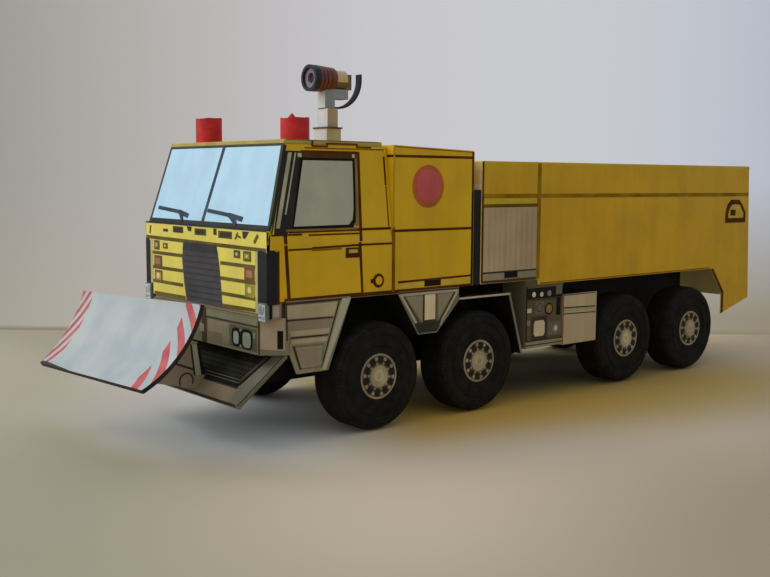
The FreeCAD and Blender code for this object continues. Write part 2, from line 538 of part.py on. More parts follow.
def make_monitor():
    """Water monitor on the module's roof: base, post, yoke, curved guide and barrel."""
    roof_z = MODULE_TOP_Z - MODULE_FALL
    flange_z = MODULE_TOP_Z + MONITOR_BASE[2]
    post_z = flange_z + MONITOR_FLANGE
    yoke_z = post_z + MONITOR_POST[2]
    flange = (MONITOR_BASE[0] + 2 * MONITOR_FLANGE_LIP[0], MONITOR_BASE[1] + 2 * MONITOR_FLANGE_LIP[1],
              MONITOR_FLANGE)
    block_size = (MONITOR_BASE[0], MONITOR_BASE[1], flange_z - roof_z)
    base = standing_block(block_size, roof_z).cut(module_outer(0)).fuse(standing_block(flange, flange_z))
    save("monitor_base", base)
    save("monitor_post", standing_block(MONITOR_POST, post_z))

    axis_z = yoke_z + BARREL_CLEAR + BREECH_RADIUS
    muzzle = MONITOR_BACK - BARREL_FORWARD
    barrel = muzzle + MUZZLE_LENGTH
    breech = barrel + BARREL_LENGTH
    end = breech + BREECH_LENGTH
    barrel_solid = cylinder_x(barrel, breech, MUZZLE_RADIUS, BARREL_REAR_RADIUS, axis_z)
    breech_solid = cylinder_x(breech, end, BREECH_RADIUS, BREECH_RADIUS, axis_z)
    end_block = monitor_block(BREECH_BLOCK, end, axis_z + BREECH_BLOCK_TOP - BREECH_BLOCK[2])
    save("monitor_muzzle", cylinder_x(muzzle, barrel, MUZZLE_RADIUS, MUZZLE_RADIUS, axis_z))
    save("monitor_barrel", barrel_solid)
    save("monitor_breech", breech_solid.fuse(end_block))

    front = MONITOR_BACK - YOKE_FORWARD
    rear = front + YOKE_LENGTH
    under_barrel = axis_z - BREECH_RADIUS
    yoke = monitor_block((YOKE_LENGTH, YOKE_WIDTH, under_barrel - yoke_z), front, yoke_z)
    cheeks = monitor_block((CHEEK_REACH, YOKE_WIDTH, CHEEK_HEIGHT), rear, under_barrel - CHEEK_HEIGHT)
    for piece in (barrel_solid, breech_solid, end_block):
        cheeks = cheeks.cut(piece)
        yoke = yoke.cut(piece)
    save("monitor_yoke", yoke.fuse(cheeks).removeSplitter())

    turn, top = rear + GUIDE_STRAIGHT, yoke_z + GUIDE_RADIUS
    middle = Vector(back(turn), MONITOR_OFFSET - GUIDE_WIDTH / 2, top)
    ring = Part.makeCylinder(GUIDE_RADIUS, GUIDE_WIDTH, middle, Vector(0, 1, 0))
    ring = ring.cut(Part.makeCylinder(GUIDE_RADIUS - CARD, GUIDE_WIDTH, middle, Vector(0, 1, 0)))
    quarter = block(back(turn), back(turn + GUIDE_RADIUS + 1), -HALF, HALF, yoke_z - 1, top)
    foot = monitor_block((GUIDE_STRAIGHT, GUIDE_WIDTH, CARD), rear, yoke_z)
    tip = monitor_block((CARD, GUIDE_WIDTH, GUIDE_STRAIGHT), turn + GUIDE_RADIUS - CARD, top)
    save("monitor_guide", ring.common(quarter).fuse(foot).fuse(tip).removeSplitter())


os.makedirs("parts", exist_ok=True)
make_chassis()
make_wheels()
make_cab()
make_module()
make_tank()
make_bumper()
make_blade()
make_side_equipment()
make_beacons()
make_monitor()
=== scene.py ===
import math

import bmesh
import bpy
from mathutils import Euler, Matrix, Vector


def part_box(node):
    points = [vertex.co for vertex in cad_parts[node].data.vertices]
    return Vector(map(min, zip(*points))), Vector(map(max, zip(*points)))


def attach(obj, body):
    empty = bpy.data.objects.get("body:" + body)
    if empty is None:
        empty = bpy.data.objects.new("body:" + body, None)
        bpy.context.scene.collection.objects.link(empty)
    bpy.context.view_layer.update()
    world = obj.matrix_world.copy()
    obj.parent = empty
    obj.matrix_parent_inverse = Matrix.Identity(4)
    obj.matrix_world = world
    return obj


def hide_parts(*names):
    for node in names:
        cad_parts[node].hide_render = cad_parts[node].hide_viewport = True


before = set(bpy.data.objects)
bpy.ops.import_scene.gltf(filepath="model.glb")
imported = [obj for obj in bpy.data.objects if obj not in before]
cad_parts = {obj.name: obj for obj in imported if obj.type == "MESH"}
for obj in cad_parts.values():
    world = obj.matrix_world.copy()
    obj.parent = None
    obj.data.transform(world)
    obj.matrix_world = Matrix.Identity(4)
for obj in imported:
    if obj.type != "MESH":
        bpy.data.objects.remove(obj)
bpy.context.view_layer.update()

# --- Camera ---
# It stands off the truck's left front corner, a hand's breadth away and level with the
# windows. All the making below is in millimetres times MM.
MM = 0.001
CAB_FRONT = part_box("cab_shell")[1].x
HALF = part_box("cab_shell")[1].y

camera = bpy.data.objects.new("camera", bpy.data.cameras.new("camera"))
bpy.context.scene.collection.objects.link(camera)
camera.data.sensor_width = 36.0
camera.data.lens = 47.6
camera.data.clip_start = 0.01
camera_heading, camera_dip, camera_roll = -129.854, -6.239, 0.356
camera_place = Vector((CAB_FRONT + 123.6 * MM, 217.7 * MM, 61.5 * MM))
camera_turn = Euler((math.radians(90 + camera_dip), 0, math.radians(camera_heading - 90)))
camera_turn = camera_turn.to_matrix() @ Matrix.Rotation(math.radians(camera_roll), 3, "Z")
camera.matrix_world = Matrix.Translation(camera_place) @ camera_turn.to_4x4()
bpy.context.scene.camera = camera
bpy.context.scene.view_settings.view_transform = "Standard"

# --- Axle rods ---
# Round wooden skewers that carry the wheels. Pale birch with its grain along the rod,
# cut square at the ends.
def plain(r, g, b):
    """A colour written as it looks, from 0 to 255, as the shader's linear colour."""
    return tuple(((c / 255 + 0.055) / 1.055) ** 2.4 if c > 10 else c / 255 / 12.92
                 for c in (r, g, b)) + (1,)


def feed(node, inputs):
    """Give a shader node's inputs their values, or the outputs that they follow."""
    for name, value in inputs.items():
        if isinstance(value, bpy.types.NodeSocket):
            node.id_data.links.new(value, node.inputs[name])
        else:
            node.inputs[name].default_value = value


def add(tree, kind, inputs, **settings):
    """A new shader node with its settings and inputs."""
    node = tree.nodes.new("ShaderNode" + kind)
    for name, value in settings.items():
        setattr(node, name, value)
    feed(node, inputs)
    return node


def own_place(tree):
    """The piece's own coordinates."""
    return add(tree, "TexCoord", {}).outputs["Object"]


def noise(tree, scale, detail, stretch=(1, 1, 1)):
    """A noise texture on the piece's own coordinates; scale is its features per metre."""
    place = add(tree, "Mapping", {"Vector": own_place(tree), "Scale": stretch}).outputs["Vector"]
    return add(tree, "TexNoise", {"Vector": place, "Scale": scale, "Detail": detail}).outputs["Fac"]


def ramp(factor, *stops):
    """A colour that follows a factor through its stops, each a position and a colour."""
    node = add(factor.id_data, "ValToRGB", {"Fac": factor})
    steps = node.color_ramp.elements
    while len(steps) < len(stops):
        steps.new(0.5)
    for step, (position, colour) in zip(steps, stops):
        step.position, step.color = position, plain(*colour)
    return node.outputs["Color"]


def between(factor, low, high):
    """Blend from one colour to another over the middle third of a texture's values."""
    return ramp(factor, (0.35, low), (0.65, high))


def started(name, roughness, specular=0.3):
    """The node tree of a new material, with its gloss set."""
    material = bpy.data.materials.new(name)
    material.use_nodes = True
    feed(material.node_tree.nodes["Principled BSDF"],
         {"Roughness": roughness, "Specular IOR Level": specular})
    return material.node_tree


def coat(tree, colour, height, strength, depth):
    """Colour a material and raise its surface by a texture, depth in metres."""
    bump = add(tree, "Bump", {"Height": height, "Strength": strength, "Distance": depth})
    feed(tree.nodes["Principled BSDF"], {"Base Color": colour, "Normal": bump.outputs["Normal"]})


def dress(node, finish):
    """Give a CAD node its finish."""
    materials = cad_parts[node].data.materials
    materials.clear()
    materials.append(bpy.data.materials[finish])


tree = started("birch_rod", 0.6)
grain = noise(tree, 2200, 3, (1, 0.08, 1))
coat(tree, between(grain, (168, 132, 88), (214, 184, 138)), grain, 0.4, 0.00005)
for number in range(1, 5):
    dress(f"axle_rod_{number}", "birch_rod")

# --- Chassis beam and axle tubes ---
# A long closed box folded from card printed black, with a paper tube glued across it
# for each rod. The ink is thin, so the card's fibres show in it.
def ink(name, colour, spread=0.07, roughness=0.58, specular=0.3):
    """Ink on card: it takes a little unevenly and follows the fibres of the paper."""
    tree = started(name, roughness, specular)
    tones = ([c * (1 - spread) for c in colour], [min(255, c * (1 + spread) + 2) for c in colour])
    coat(tree, between(noise(tree, 150, 5), *tones), noise(tree, 2400, 3), 0.35, 0.00004)


def mix(maker, **recipes):
    """A finish for each name: its colour, then those of its maker's values that differ."""
    for name, (red, green, blue, *values) in recipes.items():
        maker(name, (red, green, blue), *values)


mix(ink, black_card_ink=(24, 22, 20, 0.25, 0.7))
dress("chassis_beam", "black_card_ink")
for number in range(1, 5):
    dress(f"axle_tube_{number}", "black_card_ink")

# --- Wheels ---
# Discs of black card glued up into a solid tyre and rounded at the shoulders, so the edges
# of the discs show as fine rings. A printed hub disc is glued on the outer face.
AHEAD, BACK, LEFT, UP = (1, 0, 0), (-1, 0, 0), (0, 1, 0), (0, 0, 1)


def open_up(piece):
    """Open just this piece in edit mode, with all of it selected."""
    bpy.ops.object.select_all(action="DESELECT")
    piece.select_set(True)
    bpy.context.view_layer.objects.active = piece
    bpy.ops.object.mode_set(mode="EDIT")
    bpy.ops.mesh.select_all(action="SELECT")


def close(smooth=None):
    """Leave edit mode, and shade folds below an angle in degrees as round."""
    bpy.ops.object.mode_set(mode="OBJECT")
    if smooth:
        bpy.ops.object.shade_smooth_by_angle(angle=math.radians(smooth))


def start(name, finishes, primitive, **sizes):
    """Add a primitive with its place and turn in its mesh, and open it in edit mode."""
    bpy.ops.object.select_all(action="DESELECT")
    primitive(**sizes)
    piece = bpy.context.active_object
    piece.name = piece.data.name = name
    bpy.ops.object.transform_apply(location=True, rotation=True, scale=True)
    for finish in finishes:
        piece.data.materials.append(bpy.data.materials[finish])
    open_up(piece)
    return piece


def choose(piece, test):
    """In edit mode, select just the faces whose centre and normal pass a test."""
    mesh = bmesh.from_edit_mesh(piece.data)
    for face in mesh.faces:
        face.select_set(False)
    for face in mesh.faces:
        if test(face.calc_center_median(), face.normal):
            face.select_set(True)
    mesh.select_flush_mode()
    bmesh.update_edit_mesh(piece.data)


def inset(*steps):
    """Inset the selected faces step by step, each a width and a rise in millimetres."""
    for width, rise in steps:
        bpy.ops.mesh.inset(thickness=width * MM, depth=rise * MM)


def twin(piece, name, move=(0, 0, 0), mirror=False):
    """A copy with its own mesh, moved, or mirrored across the truck."""
    copy = piece.copy()
    copy.data = piece.data.copy()
    copy.name = copy.data.name = name
    bpy.context.scene.collection.objects.link(copy)
    if mirror:
        copy.data.transform(Matrix.Scale(-1, 4, LEFT))
        open_up(copy)
        bpy.ops.mesh.flip_normals()
        close()
    copy.data.transform(Matrix.Translation(move))
    return copy


def fit(piece, body="truck", node=None):
    """Say what a piece rides on and the CAD node it stands for, which is hidden."""
    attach(piece, body)
    if node:
        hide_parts(node)


def dot(a, b, radius, corners):
    """Outline of a round mark."""
    return [(a + radius * math.cos(math.tau * k / corners),
             b + radius * math.sin(math.tau * k / corners)) for k in range(corners)]


def outline(shape):
    """A mark's corners on its sheet, across and up. Four numbers are an upright panel's two
    sides, foot and top; five a ruled line's two ends and width; more are corner by corner."""
    if isinstance(shape, list):
        return shape
    if len(shape) == 4:
        (a0, a1), (b0, b1) = sorted(shape[:2]), shape[2:]
        return [(a0, b0), (a1, b0), (a1, b1), (a0, b1)]
    if len(shape) == 5:
        a0, b0, a1, b1, width = shape
        length = math.hypot(a1 - a0, b1 - b0)
        da, db = -(b1 - b0) * width / 2 / length, (a1 - a0) * width / 2 / length
        return [(a0 - da, b0 - db), (a1 - da, b1 - db), (a1 + da, b1 + db), (a0 + da, b0 + db)]
    return list(zip(shape[::2], shape[1::2]))


def print_on(name, sheet, marks, body="truck"):
    """All the marks of one face as one piece: (ink, layer, shapes), each shape a thin film
    whose top lies higher with its layer, and a hair higher than the one before it, so that no
    two tops meet. A sheet is its origin, its two directions and its outside."""
    origin, along, upright, outward = (Vector(v) for v in sheet)
    film, hair = 0.045 * MM, 0.01
    mesh = bpy.data.meshes.new(name)
    piece = bpy.data.objects.new(name, mesh)
    bpy.context.scene.collection.objects.link(piece)
    inks = list(dict.fromkeys(colour for colour, *_ in marks))
    for colour in inks:
        mesh.materials.append(bpy.data.materials[colour])
    open_up(piece)
    shapes = [(colour, layer, shape) for colour, layer, *group in marks for shape in group]
    for order, (colour, layer, shape) in enumerate(shapes):
        places = outline(shape)
        bpy.ops.mesh.primitive_circle_add(vertices=len(places), radius=MM, fill_type="NGON")
        drawn = bmesh.from_edit_mesh(mesh)
        corners = [v for v in drawn.verts if v.select]
        for corner, (a, b) in zip(corners, places):
            corner.co = origin + along * a * MM + upright * b * MM
        bmesh.update_edit_mesh(mesh)
        piece.active_material_index = inks.index(colour)
        bpy.ops.object.material_slot_assign()
        bpy.ops.mesh.extrude_region_move(
            TRANSFORM_OT_translate={"value": outward * film * (layer + hair * order)})
    bpy.ops.mesh.select_all(action="SELECT")
    bpy.ops.mesh.normals_make_consistent(inside=False)
    close()
    fit(piece, body)
    return piece


tree = started("tyre_laminate", 0.82, 0.2)
rings = add(tree, "TexWave", {"Vector": own_place(tree), "Scale": 330, "Distortion": 0.6},
            bands_direction="Y").outputs["Fac"]
coat(tree, between(noise(tree, 420, 4), (17, 15, 13), (33, 30, 26)), rings, 0.5, 0.00012)
mix(ink, hub_paper=(156, 143, 112, 0.1), hub_dark=(22, 18, 14, 0.2), hub_shade=(74, 64, 48, 0.15),
    hub_centre=(176, 160, 122, 0.1), hub_light=(196, 182, 148, 0.1))

low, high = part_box("tyre_1_left")
wheel_width = high.y - low.y
axle = Vector(((low.x + high.x) / 2, (low.y + high.y) / 2, (low.z + high.z) / 2))
tyre = start("wheel_1_left", ["tyre_laminate"], bpy.ops.mesh.primitive_cylinder_add, vertices=72,
             radius=(high.z - low.z) / 2, depth=wheel_width, location=axle,
             rotation=(math.radians(90), 0, 0))
shoulder, tread_step = 2.0, 0.25
choose(tyre, lambda centre, normal: abs(normal.y) > 0.9)
bpy.ops.mesh.bevel(offset=shoulder * MM, segments=5, affect="EDGES")
for side in (1, -1):
    choose(tyre, lambda centre, normal: normal.y * side > 0.99)
    inset((0.9, 0), (tread_step, -0.2), (0.5, 0), (tread_step, 0.2), (1.6, 0), (0.3, -0.35))
close(25)

hub_radius, hole_ring, hub_sink = 5.6, 4.15, 0.35
hub_face = (axle + Vector((0, wheel_width / 2 - hub_sink * MM, 0)), BACK, UP, LEFT)
hub_marks = [("hub_paper", 3, dot(0, 0, hub_radius, 48)),
             ("hub_shade", 4, dot(0, 0, hub_radius - 0.5, 48))]
for k in range(10):
    hole = math.tau * (k + 0.3) / 10
    rib = hole + math.tau / 20
    for colour, reach, turn, radius, corners in (
            ("hub_dark", hole_ring, hole, 0.92, 14), ("hub_paper", hole_ring + 0.3, rib, 0.5, 10),
            ("hub_paper", 3.2, rib, 0.3, 10)):
        place = reach * math.cos(turn), reach * math.sin(turn)
        hub_marks.append((colour, 5, dot(*place, radius, corners)))
# The small pale dot set off the middle of the centre disc is a painted highlight.
hub_marks += [("hub_paper", 6, dot(0, 0, 2.85, 32)), ("hub_centre", 7, dot(0, 0, 2.45, 32)),
              ("hub_light", 8, dot(-0.15, 0.3, 1.5, 24)), ("hub_centre", 9, dot(0, 0, 0.75, 20))]
hub = print_on("hub_1_left", hub_face, hub_marks, "axle_1")

for number in range(1, 5):
    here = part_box(f"tyre_{number}_left")
    move = ((here[0].x + here[1].x) / 2 - axle.x, 0, 0)
    for side in ("left", "right"):
        wheel, disc = tyre, hub
        if (number, side) != (1, "left"):
            wheel = twin(tyre, f"wheel_{number}_{side}", move, side == "right")
            disc = twin(hub, f"hub_{number}_{side}", move, side == "right")
        fit(wheel, f"axle_{number}", f"tyre_{number}_{side}")
        fit(disc, f"axle_{number}")

# --- Cab shell ---
# The cab is one sheet of printed card, scored and folded into a box whose windscreen and
# upper sides lean in. The folds are slightly round and the ink is a warm yellow; its forward
# faces take a paler copy of that yellow, painted light from the window.
def blend(tree, factor, first, second):
    """Mix two colours by a factor."""
    return add(tree, "Mix", {"Factor": factor, 6: first, 7: second}, data_type="RGBA").outputs[2]


def card_ink(name, colour, spread=0.05, roughness=0.5):
    """Printed body card: cloudy ink with faint streaks down the sheet and paper fibres."""
    tree = started(name, roughness)
    tones = ([c * (1 - spread) for c in colour], [min(255, c * (1 + spread)) for c in colour])
    cloud = between(noise(tree, 90, 6), *tones)
    streaks = between(noise(tree, 260, 3, (1, 1, 0.06)), *tones)
    coat(tree, blend(tree, 0.4, cloud, streaks), noise(tree, 1900, 4), 0.3, 0.00005)


def folded(node, name, finishes, slot, fold=0.3, where=None):
    """A CAD node's own shape with its folds rounded. finishes are its materials; where gives
    each face's one from its centre and normal. The new piece takes the node's place."""
    piece = bpy.data.objects.new(name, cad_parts[node].data.copy())
    bpy.context.scene.collection.objects.link(piece)
    piece.data.materials.clear()
    for finish in finishes:
        piece.data.materials.append(bpy.data.materials[finish])
    open_up(piece)
    bpy.ops.mesh.remove_doubles(threshold=0.004 * MM)
    bpy.ops.mesh.customdata_custom_splitnormals_clear()
    bpy.ops.mesh.dissolve_limited(angle_limit=math.radians(0.6))
    if fold:
        bpy.ops.mesh.select_all(action="DESELECT")
        bpy.ops.mesh.select_mode(type="EDGE")
        bpy.ops.mesh.edges_select_sharp(sharpness=math.radians(12))
        bpy.ops.mesh.bevel(offset=fold * MM, segments=3, affect="EDGES")
        bpy.ops.mesh.select_mode(type="FACE")
    close()
    for face in piece.data.polygons:
        face.material_index = int(where(face.center, face.normal)) if where else 0
        face.use_smooth = False
    fit(piece, "truck", node)


mix(card_ink, yellow_side=(221, 176, 12), yellow_front=(228, 213, 96, 0.04))
mix(ink, pillar_black=(36, 34, 20, 0.2), sill_navy=(32, 38, 40, 0.2))
cab_fold = 46.3
cab_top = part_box("cab_shell")[1].z / MM
screen_lean = 6.4 / (cab_top - cab_fold)
side_lean = 2.8 / (cab_top - cab_fold)
strip_foot, strip_top = 45.2, 49.6


def cab_finish(centre, normal):
    """Black corner posts, a dark ledge over the upright strip, a paler yellow on forward faces as
    painted light, and yellow elsewhere.
    """
    height = centre.z / MM
    if normal.z > 0.5 and height < strip_top + 1.0:
        return 3
    if normal.x > 0.2 and abs(normal.y) > 0.25 and not strip_foot < height < strip_top + 0.1:
        return 2
    return normal.x > 0.6


folded("cab_shell", "cab", ["yellow_side", "yellow_front", "pillar_black", "sill_navy"],
       "yellow_card", 0.3, cab_finish)

# --- Windscreen ---
# Two pale blue panes printed on the leaning front, parted by a slanting dark post, with a
# dark brow line over them and two wipers lying along their lower edges.
mix(card_ink, pane_blue=(183, 223, 247, 0.03, 0.3))
mix(ink, post_navy=(36, 54, 72, 0.15), brow_olive=(52, 54, 34, 0.15),
    line_black=(24, 20, 14, 0.2, 0.58, 0.1))
screen = ((CAB_FRONT + screen_lean * cab_fold * MM, 0, 0), LEFT, (-screen_lean, 0, 1),
          Vector((1, 0, screen_lean)).normalized())
wiper_marks = []
for a0, b0, a1, b1, a2, b2, foot in ((-25, 53.3, -13.5, 52.5, -8.5, 51.6, -11),
                                     (0.2, 53.2, 10.5, 52.4, 16.8, 51.6, 14.4)):
    wiper_marks.append(("post_navy", 5, (a0, b0, a1, b1, 0.9), (a1 - 0.2, b1, a2, b2, 1.15),
                        (a1 + 0.5, b1 - 0.1, foot, 50.4, 1.15)))
print_on("windscreen", screen, [
    ("brow_olive", 1, (-28.5, 49.65, 28.5, 49.65, 26.3, 69, -26.3, 69)),
    ("sill_navy", 2, (-28.4, 28.4, 49.65, 50.45)),
    ("pane_blue", 3, (-27.3, 50.6, -1.5, 50.6, 0.7, 68.35, -25.2, 68.35),
     (-0.6, 50.6, 27.6, 50.6, 25.5, 68.35, 1.5, 68.35)),
    ("post_navy", 4, (-1.7, 50.4, -0.4, 50.4, 1.8, 68.8, 0.5, 68.8))] + wiper_marks)

# --- Cab front ---
# The yellow nose below the windscreen: a strip with three air slots, the dark grille with
# ruled panels either side, lamp columns at the ends and black corner strips.
mix(ink, slot_olive=(58, 48, 20, 0.15), rule_olive=(92, 80, 24, 0.15),
    grille_grey=(62, 61, 66, 0.1, 0.5), grille_line=(44, 43, 48, 0.1, 0.5),
    lamp_brown=(158, 112, 72, 0.1), lamp_rim=(112, 70, 40, 0.12), lamp_olive=(150, 138, 46, 0.12),
    lamp_pale=(216, 206, 150, 0.06, 0.35), light_strip=(176, 168, 116, 0.1),
    corner_black=(17, 20, 24, 0.25), indicator_white=(196, 204, 200, 0.12, 0.35),
    indicator_blue=(142, 158, 166, 0.15, 0.35), indicator_rim=(110, 118, 112, 0.2))
nose = ((CAB_FRONT, 0, 0), LEFT, UP, AHEAD)
print_on("nose_strip", nose, [
    ("rule_olive", 1, (-14.04, -8.76, 47.35, 48.95)),
    ("slot_olive", 2, (-13.44, -9.36, 47.65, 48.65)),
    ("rule_olive", 1, (-3.04, 2.54, 47.25, 48.85)),
    ("slot_olive", 2, (-2.34, 1.84, 47.55, 48.55)),
    ("rule_olive", 1, (8.15, 14.32, 47.05, 48.75)),
    ("slot_olive", 2, (8.94, 13.63, 47.45, 48.35),
     (-6.95, 49.15, -4.57, 49.15, -4.73, 48.05, -6.13, 48.05),
     (18.84, 49.05, 21.62, 49.05, 20.1, 47.45, 19.1, 47.45)),
    ("slot_olive", 1, (5.9, 7.39, 47.65, 49.15), (-19.27, -16.67, 47.35, 48.05)),
    ("rule_olive", 1, (15.72, 47.05, 16.86, 48.65, 0.6), (16.34, 47.95, 18.15, 47.55, 0.5),
     (23.73, 46.65, 25.33, 48.45, 0.9), (-26.49, 46.55, -26.11, 48.65, 0.7)),
    ("sill_navy", 2, (-28.8, 28.8, 49.3, 49.6))])
nose_marks = [
    ("rule_olive", 1, (-28.6, 45.6, 28.6, 45.2, 0.9)),
    ("grille_grey", 2, (-8.6, 45.2, 7.2, 45.2, 8.4, 41, 9.3, 35, 9.7, 30.8, -7.4, 30.8, -8.5, 35,
     -9.4, 41)),
    ("grille_line", 3, (-8.6, 45.2, 7.2, 45.2, 7.9, 43.1, -9, 43.3)),
    ("corner_black", 2, (-28.8, 33.2, -26.5, 33.2, -26.5, 44.6, -27.2, 45.2, -28.8, 45.2)),
    ("light_strip", 1, (-26.3, -25.1, 33.6, 44.9)),
    ("corner_black", 2, (25.2, 33, 28.9, 33, 28.9, 44.6, 26.6, 45.2, 25.2, 44.8)),
    ("light_strip", 1, (24, 25.2, 30.8, 44.8))]
for k in range(8):
    b = 42.0 - 1.45 * k
    start_at = -8.1 if k < 5 else -7.2
    nose_marks.append(("grille_line", 3, (start_at, b, 7.7 + 0.2 * k, b + 0.1, 0.34)))
for b0, b1 in ((41.7, 41.2), (37.9, 37.6), (34.3, 34.0)):
    nose_marks.append(("rule_olive", 1, (-25.2, b0, -9.2, b0, 0.85), (9, b1, 24.2, b1, 0.85)))
nose_marks.append(("rule_olive", 1, (-24.5, 31.2, -8, 31.3, 0.8), (9.8, 31.2, 24.2, 31.4, 0.8)))
for a, lamp_frame in ((-22.1, "lamp_rim"), (21.8, "lamp_olive")):
    nose_marks += [
        ("lamp_rim", 2, (a - 2.2, a + 2, 38, 41)),
        ("lamp_brown", 3, (a - 1.5, a + 1.3, 38.7, 40.3)),
        (lamp_frame, 2, (a - 2, a + 2, 34.2, 37.2)),
        ("lamp_olive", 3, (a - 1.5, a + 1.5, 34.7, 36.7)),
        ("lamp_pale", 4, dot(a, 35.8, 0.75, 14))]
for a0, a1, b0, b1 in ((-24.2, -21.4, 42.5, 44.9), (-19.4, -17.0, 43.0, 44.4),
                       (15.1, 17.8, 42.8, 44.6), (19.2, 22.4, 42.3, 44.6)):
    nose_marks += [
        ("rule_olive", 2, (a0, a1, b0, b1)),
        ("lamp_olive", 3, (a0 + 0.6, a1 - 0.6, b0 + 0.6, b1 - 0.5)),
        ("lamp_pale", 4, dot((a0 + a1) / 2, (b0 + b1) / 2, 0.35, 12))]
print_on("nose", nose, nose_marks)


def card_box(name, low, high, finish):
    """A small folded box of card on the left side, and its mirror image on the right."""
    low, high = Vector(low) * MM, Vector(high) * MM
    piece = start(name + "_left", [finish], bpy.ops.mesh.primitive_cube_add, size=1,
                  location=(low + high) / 2, scale=high - low)
    bpy.ops.mesh.bevel(offset=0.15 * MM, segments=3, affect="EDGES")
    close()
    for box in (piece, twin(piece, name + "_right", mirror=True)):
        fit(box)


def both_sides(name, sheet, marks):
    """The same print on the left side and, as its mirror image, on the right."""
    left = print_on(name + "_left", sheet, marks)
    fit(twin(left, name + "_right", mirror=True))


cab_front = CAB_FRONT / MM
card_box("indicator", (cab_front - 0.5, 25.9, 29.1), (cab_front + 0.5, 28.95, 33.4),
         "indicator_rim")
both_sides("indicator_print", ((CAB_FRONT + 0.5 * MM, 0, 0), LEFT, UP, AHEAD), [
    ("indicator_white", 1, (26.15, 28.7, 29.4, 33.1)),
    ("indicator_blue", 2, (26.3, 27.6, 30.9, 32.9), (27.4, 28.5, 29.6, 30.4)),
    ("indicator_rim", 2, (26.4, 27.2, 29.9, 30.3), (27.9, 30.8, 28.3, 32.6, 0.3))])

# --- Cab sides ---
# Each side has a large door window in a black frame, striped corner posts that lean with
# the windscreen, a belt of ruled lines, a recessed handle and a filler cap.
mix(ink, line_brown=(86, 44, 2, 0.15, 0.58, 0.08), line_soft=(132, 88, 6, 0.12, 0.58, 0.1),
    band_tan=(150, 112, 52, 0.12), frame_umber=(78, 58, 20, 0.15, 0.58, 0.1),
    post_tan=(180, 178, 150, 0.08), pale_corner=(206, 194, 150, 0.08),
    olive_gold=(204, 170, 56, 0.1))
mix(card_ink, glass_green=(178, 181, 158, 0.05, 0.35))
side_high = ((CAB_FRONT, HALF + side_lean * cab_fold * MM, 0), BACK, (0, -side_lean, 1),
             Vector((0, 1, side_lean)).normalized())
side_low = ((CAB_FRONT, HALF, 0), BACK, UP, LEFT)


def post(ahead, behind, b0, b1):
    """A strip that leans with the windscreen, from ahead to behind its edge."""
    a0, a1 = (screen_lean * max(0, b - cab_fold) for b in (b0, b1))
    return [(a0 + ahead, b0), (a0 + behind, b0), (a1 + behind, b1), (a1 + ahead, b1)]


both_sides("cab_window", side_high, [
    ("pillar_black", 1, (5, 48.4, 7.4, 50, 10.4, 62, 10.9, 67.3, 6.3, 67.3, 2.2, 50, 2, 48.4)),
    ("pillar_black", 2, post(0, 0.8, 48.9, 68.6)),
    ("post_tan", 3, post(1.5, 2.5, 50, 66.9), post(3.3, 3.7, 53, 66.9)),
    ("line_brown", 1, (10.9, 27.3, 66.8, 67.5)), ("frame_umber", 2, (10.6, 26.9, 65.8, 66.8)),
    ("line_black", 3, (7, 49.75, 24.3, 49.65, 25.2, 51.2, 25.9, 60, 26.2, 65.8, 10.6, 65.8)),
    ("glass_green", 4, (7.4, 50.3, 23, 50.4, 24.2, 51.5, 24.7, 54, 25, 58, 25.4, 65.2,
     11.2, 65.2)),
    ("pale_corner", 4, (9.9, 10.9, 65.9, 66.8), (25.5, 26.2, 66, 66.8)),
    ("band_tan", 1, (25, 50, 26.6, 50, 27.5, 66.8, 26.5, 66.8)),
    ("line_brown", 2, (26, 46.4, 26.8, 46.4, 27.8, 67.4, 27.1, 67.4)),
    ("line_brown", 1, (24, 36, 48.9, 49.5)), ("band_tan", 1, (5.4, 25.6, 49.1, 49.7)),
    ("line_brown", 2, (6, 25.9, 48.85, 49.2), (1.2, 9.5, 48.3, 48.7), (11.4, 26, 48.1, 48.45)),
    ("line_brown", 1, (4.5, 5.4, 46.4, 48.4), (35, 35.5, 59.6, 66.4)),
    ("line_soft", 1, (35.1, 35.5, 49.6, 59.4), (12, 35.4, 67.9, 68.2))])
both_sides("cab_door", side_low, [
    ("line_brown", 1, (5.6, 12.2, 44.9, 45.35), (12.2, 45.3, 26.2, 45.55, 0.5)),
    ("line_soft", 1, (12.2, 44.8, 20.6, 44.9, 0.4)),
    ("line_brown", 1, (26.2, 36, 45.3, 45.8), (4.5, 46.2, 5.4, 46.2, 6.2, 34, 5.3, 34),
     (25.7, 46.2, 26.5, 46.2, 27.2, 34, 26.5, 34), (4.5, 26.9, 33.6, 34.2)),
    ("line_brown", 2, (21.8, 26.2, 42.6, 45)), ("olive_gold", 3, (22.7, 25.4, 43, 44.6)),
    ("line_brown", 4, (22.7, 25.4, 43, 43.7)), ("pale_corner", 4, (23.3, 25, 43.8, 44.35)),
    ("line_brown", 2, dot(31.8, 36.7, 1.75, 12)), ("yellow_side", 3, dot(31.9, 36.7, 1.05, 12)),
    ("line_brown", 2, (29.4, 30.6, 36.2, 37.2)),
    ("corner_black", 2, (0.1, 33, 2.5, 33, 2.7, 44.6, 1.8, 45.2, 0.1, 45.2)),
    ("line_brown", 1, (2.6, 3.2, 33, 45), (26.9, 36.2, 33.6, 34.1)),
    ("line_soft", 1, (36, 36.5, 34, 49))])

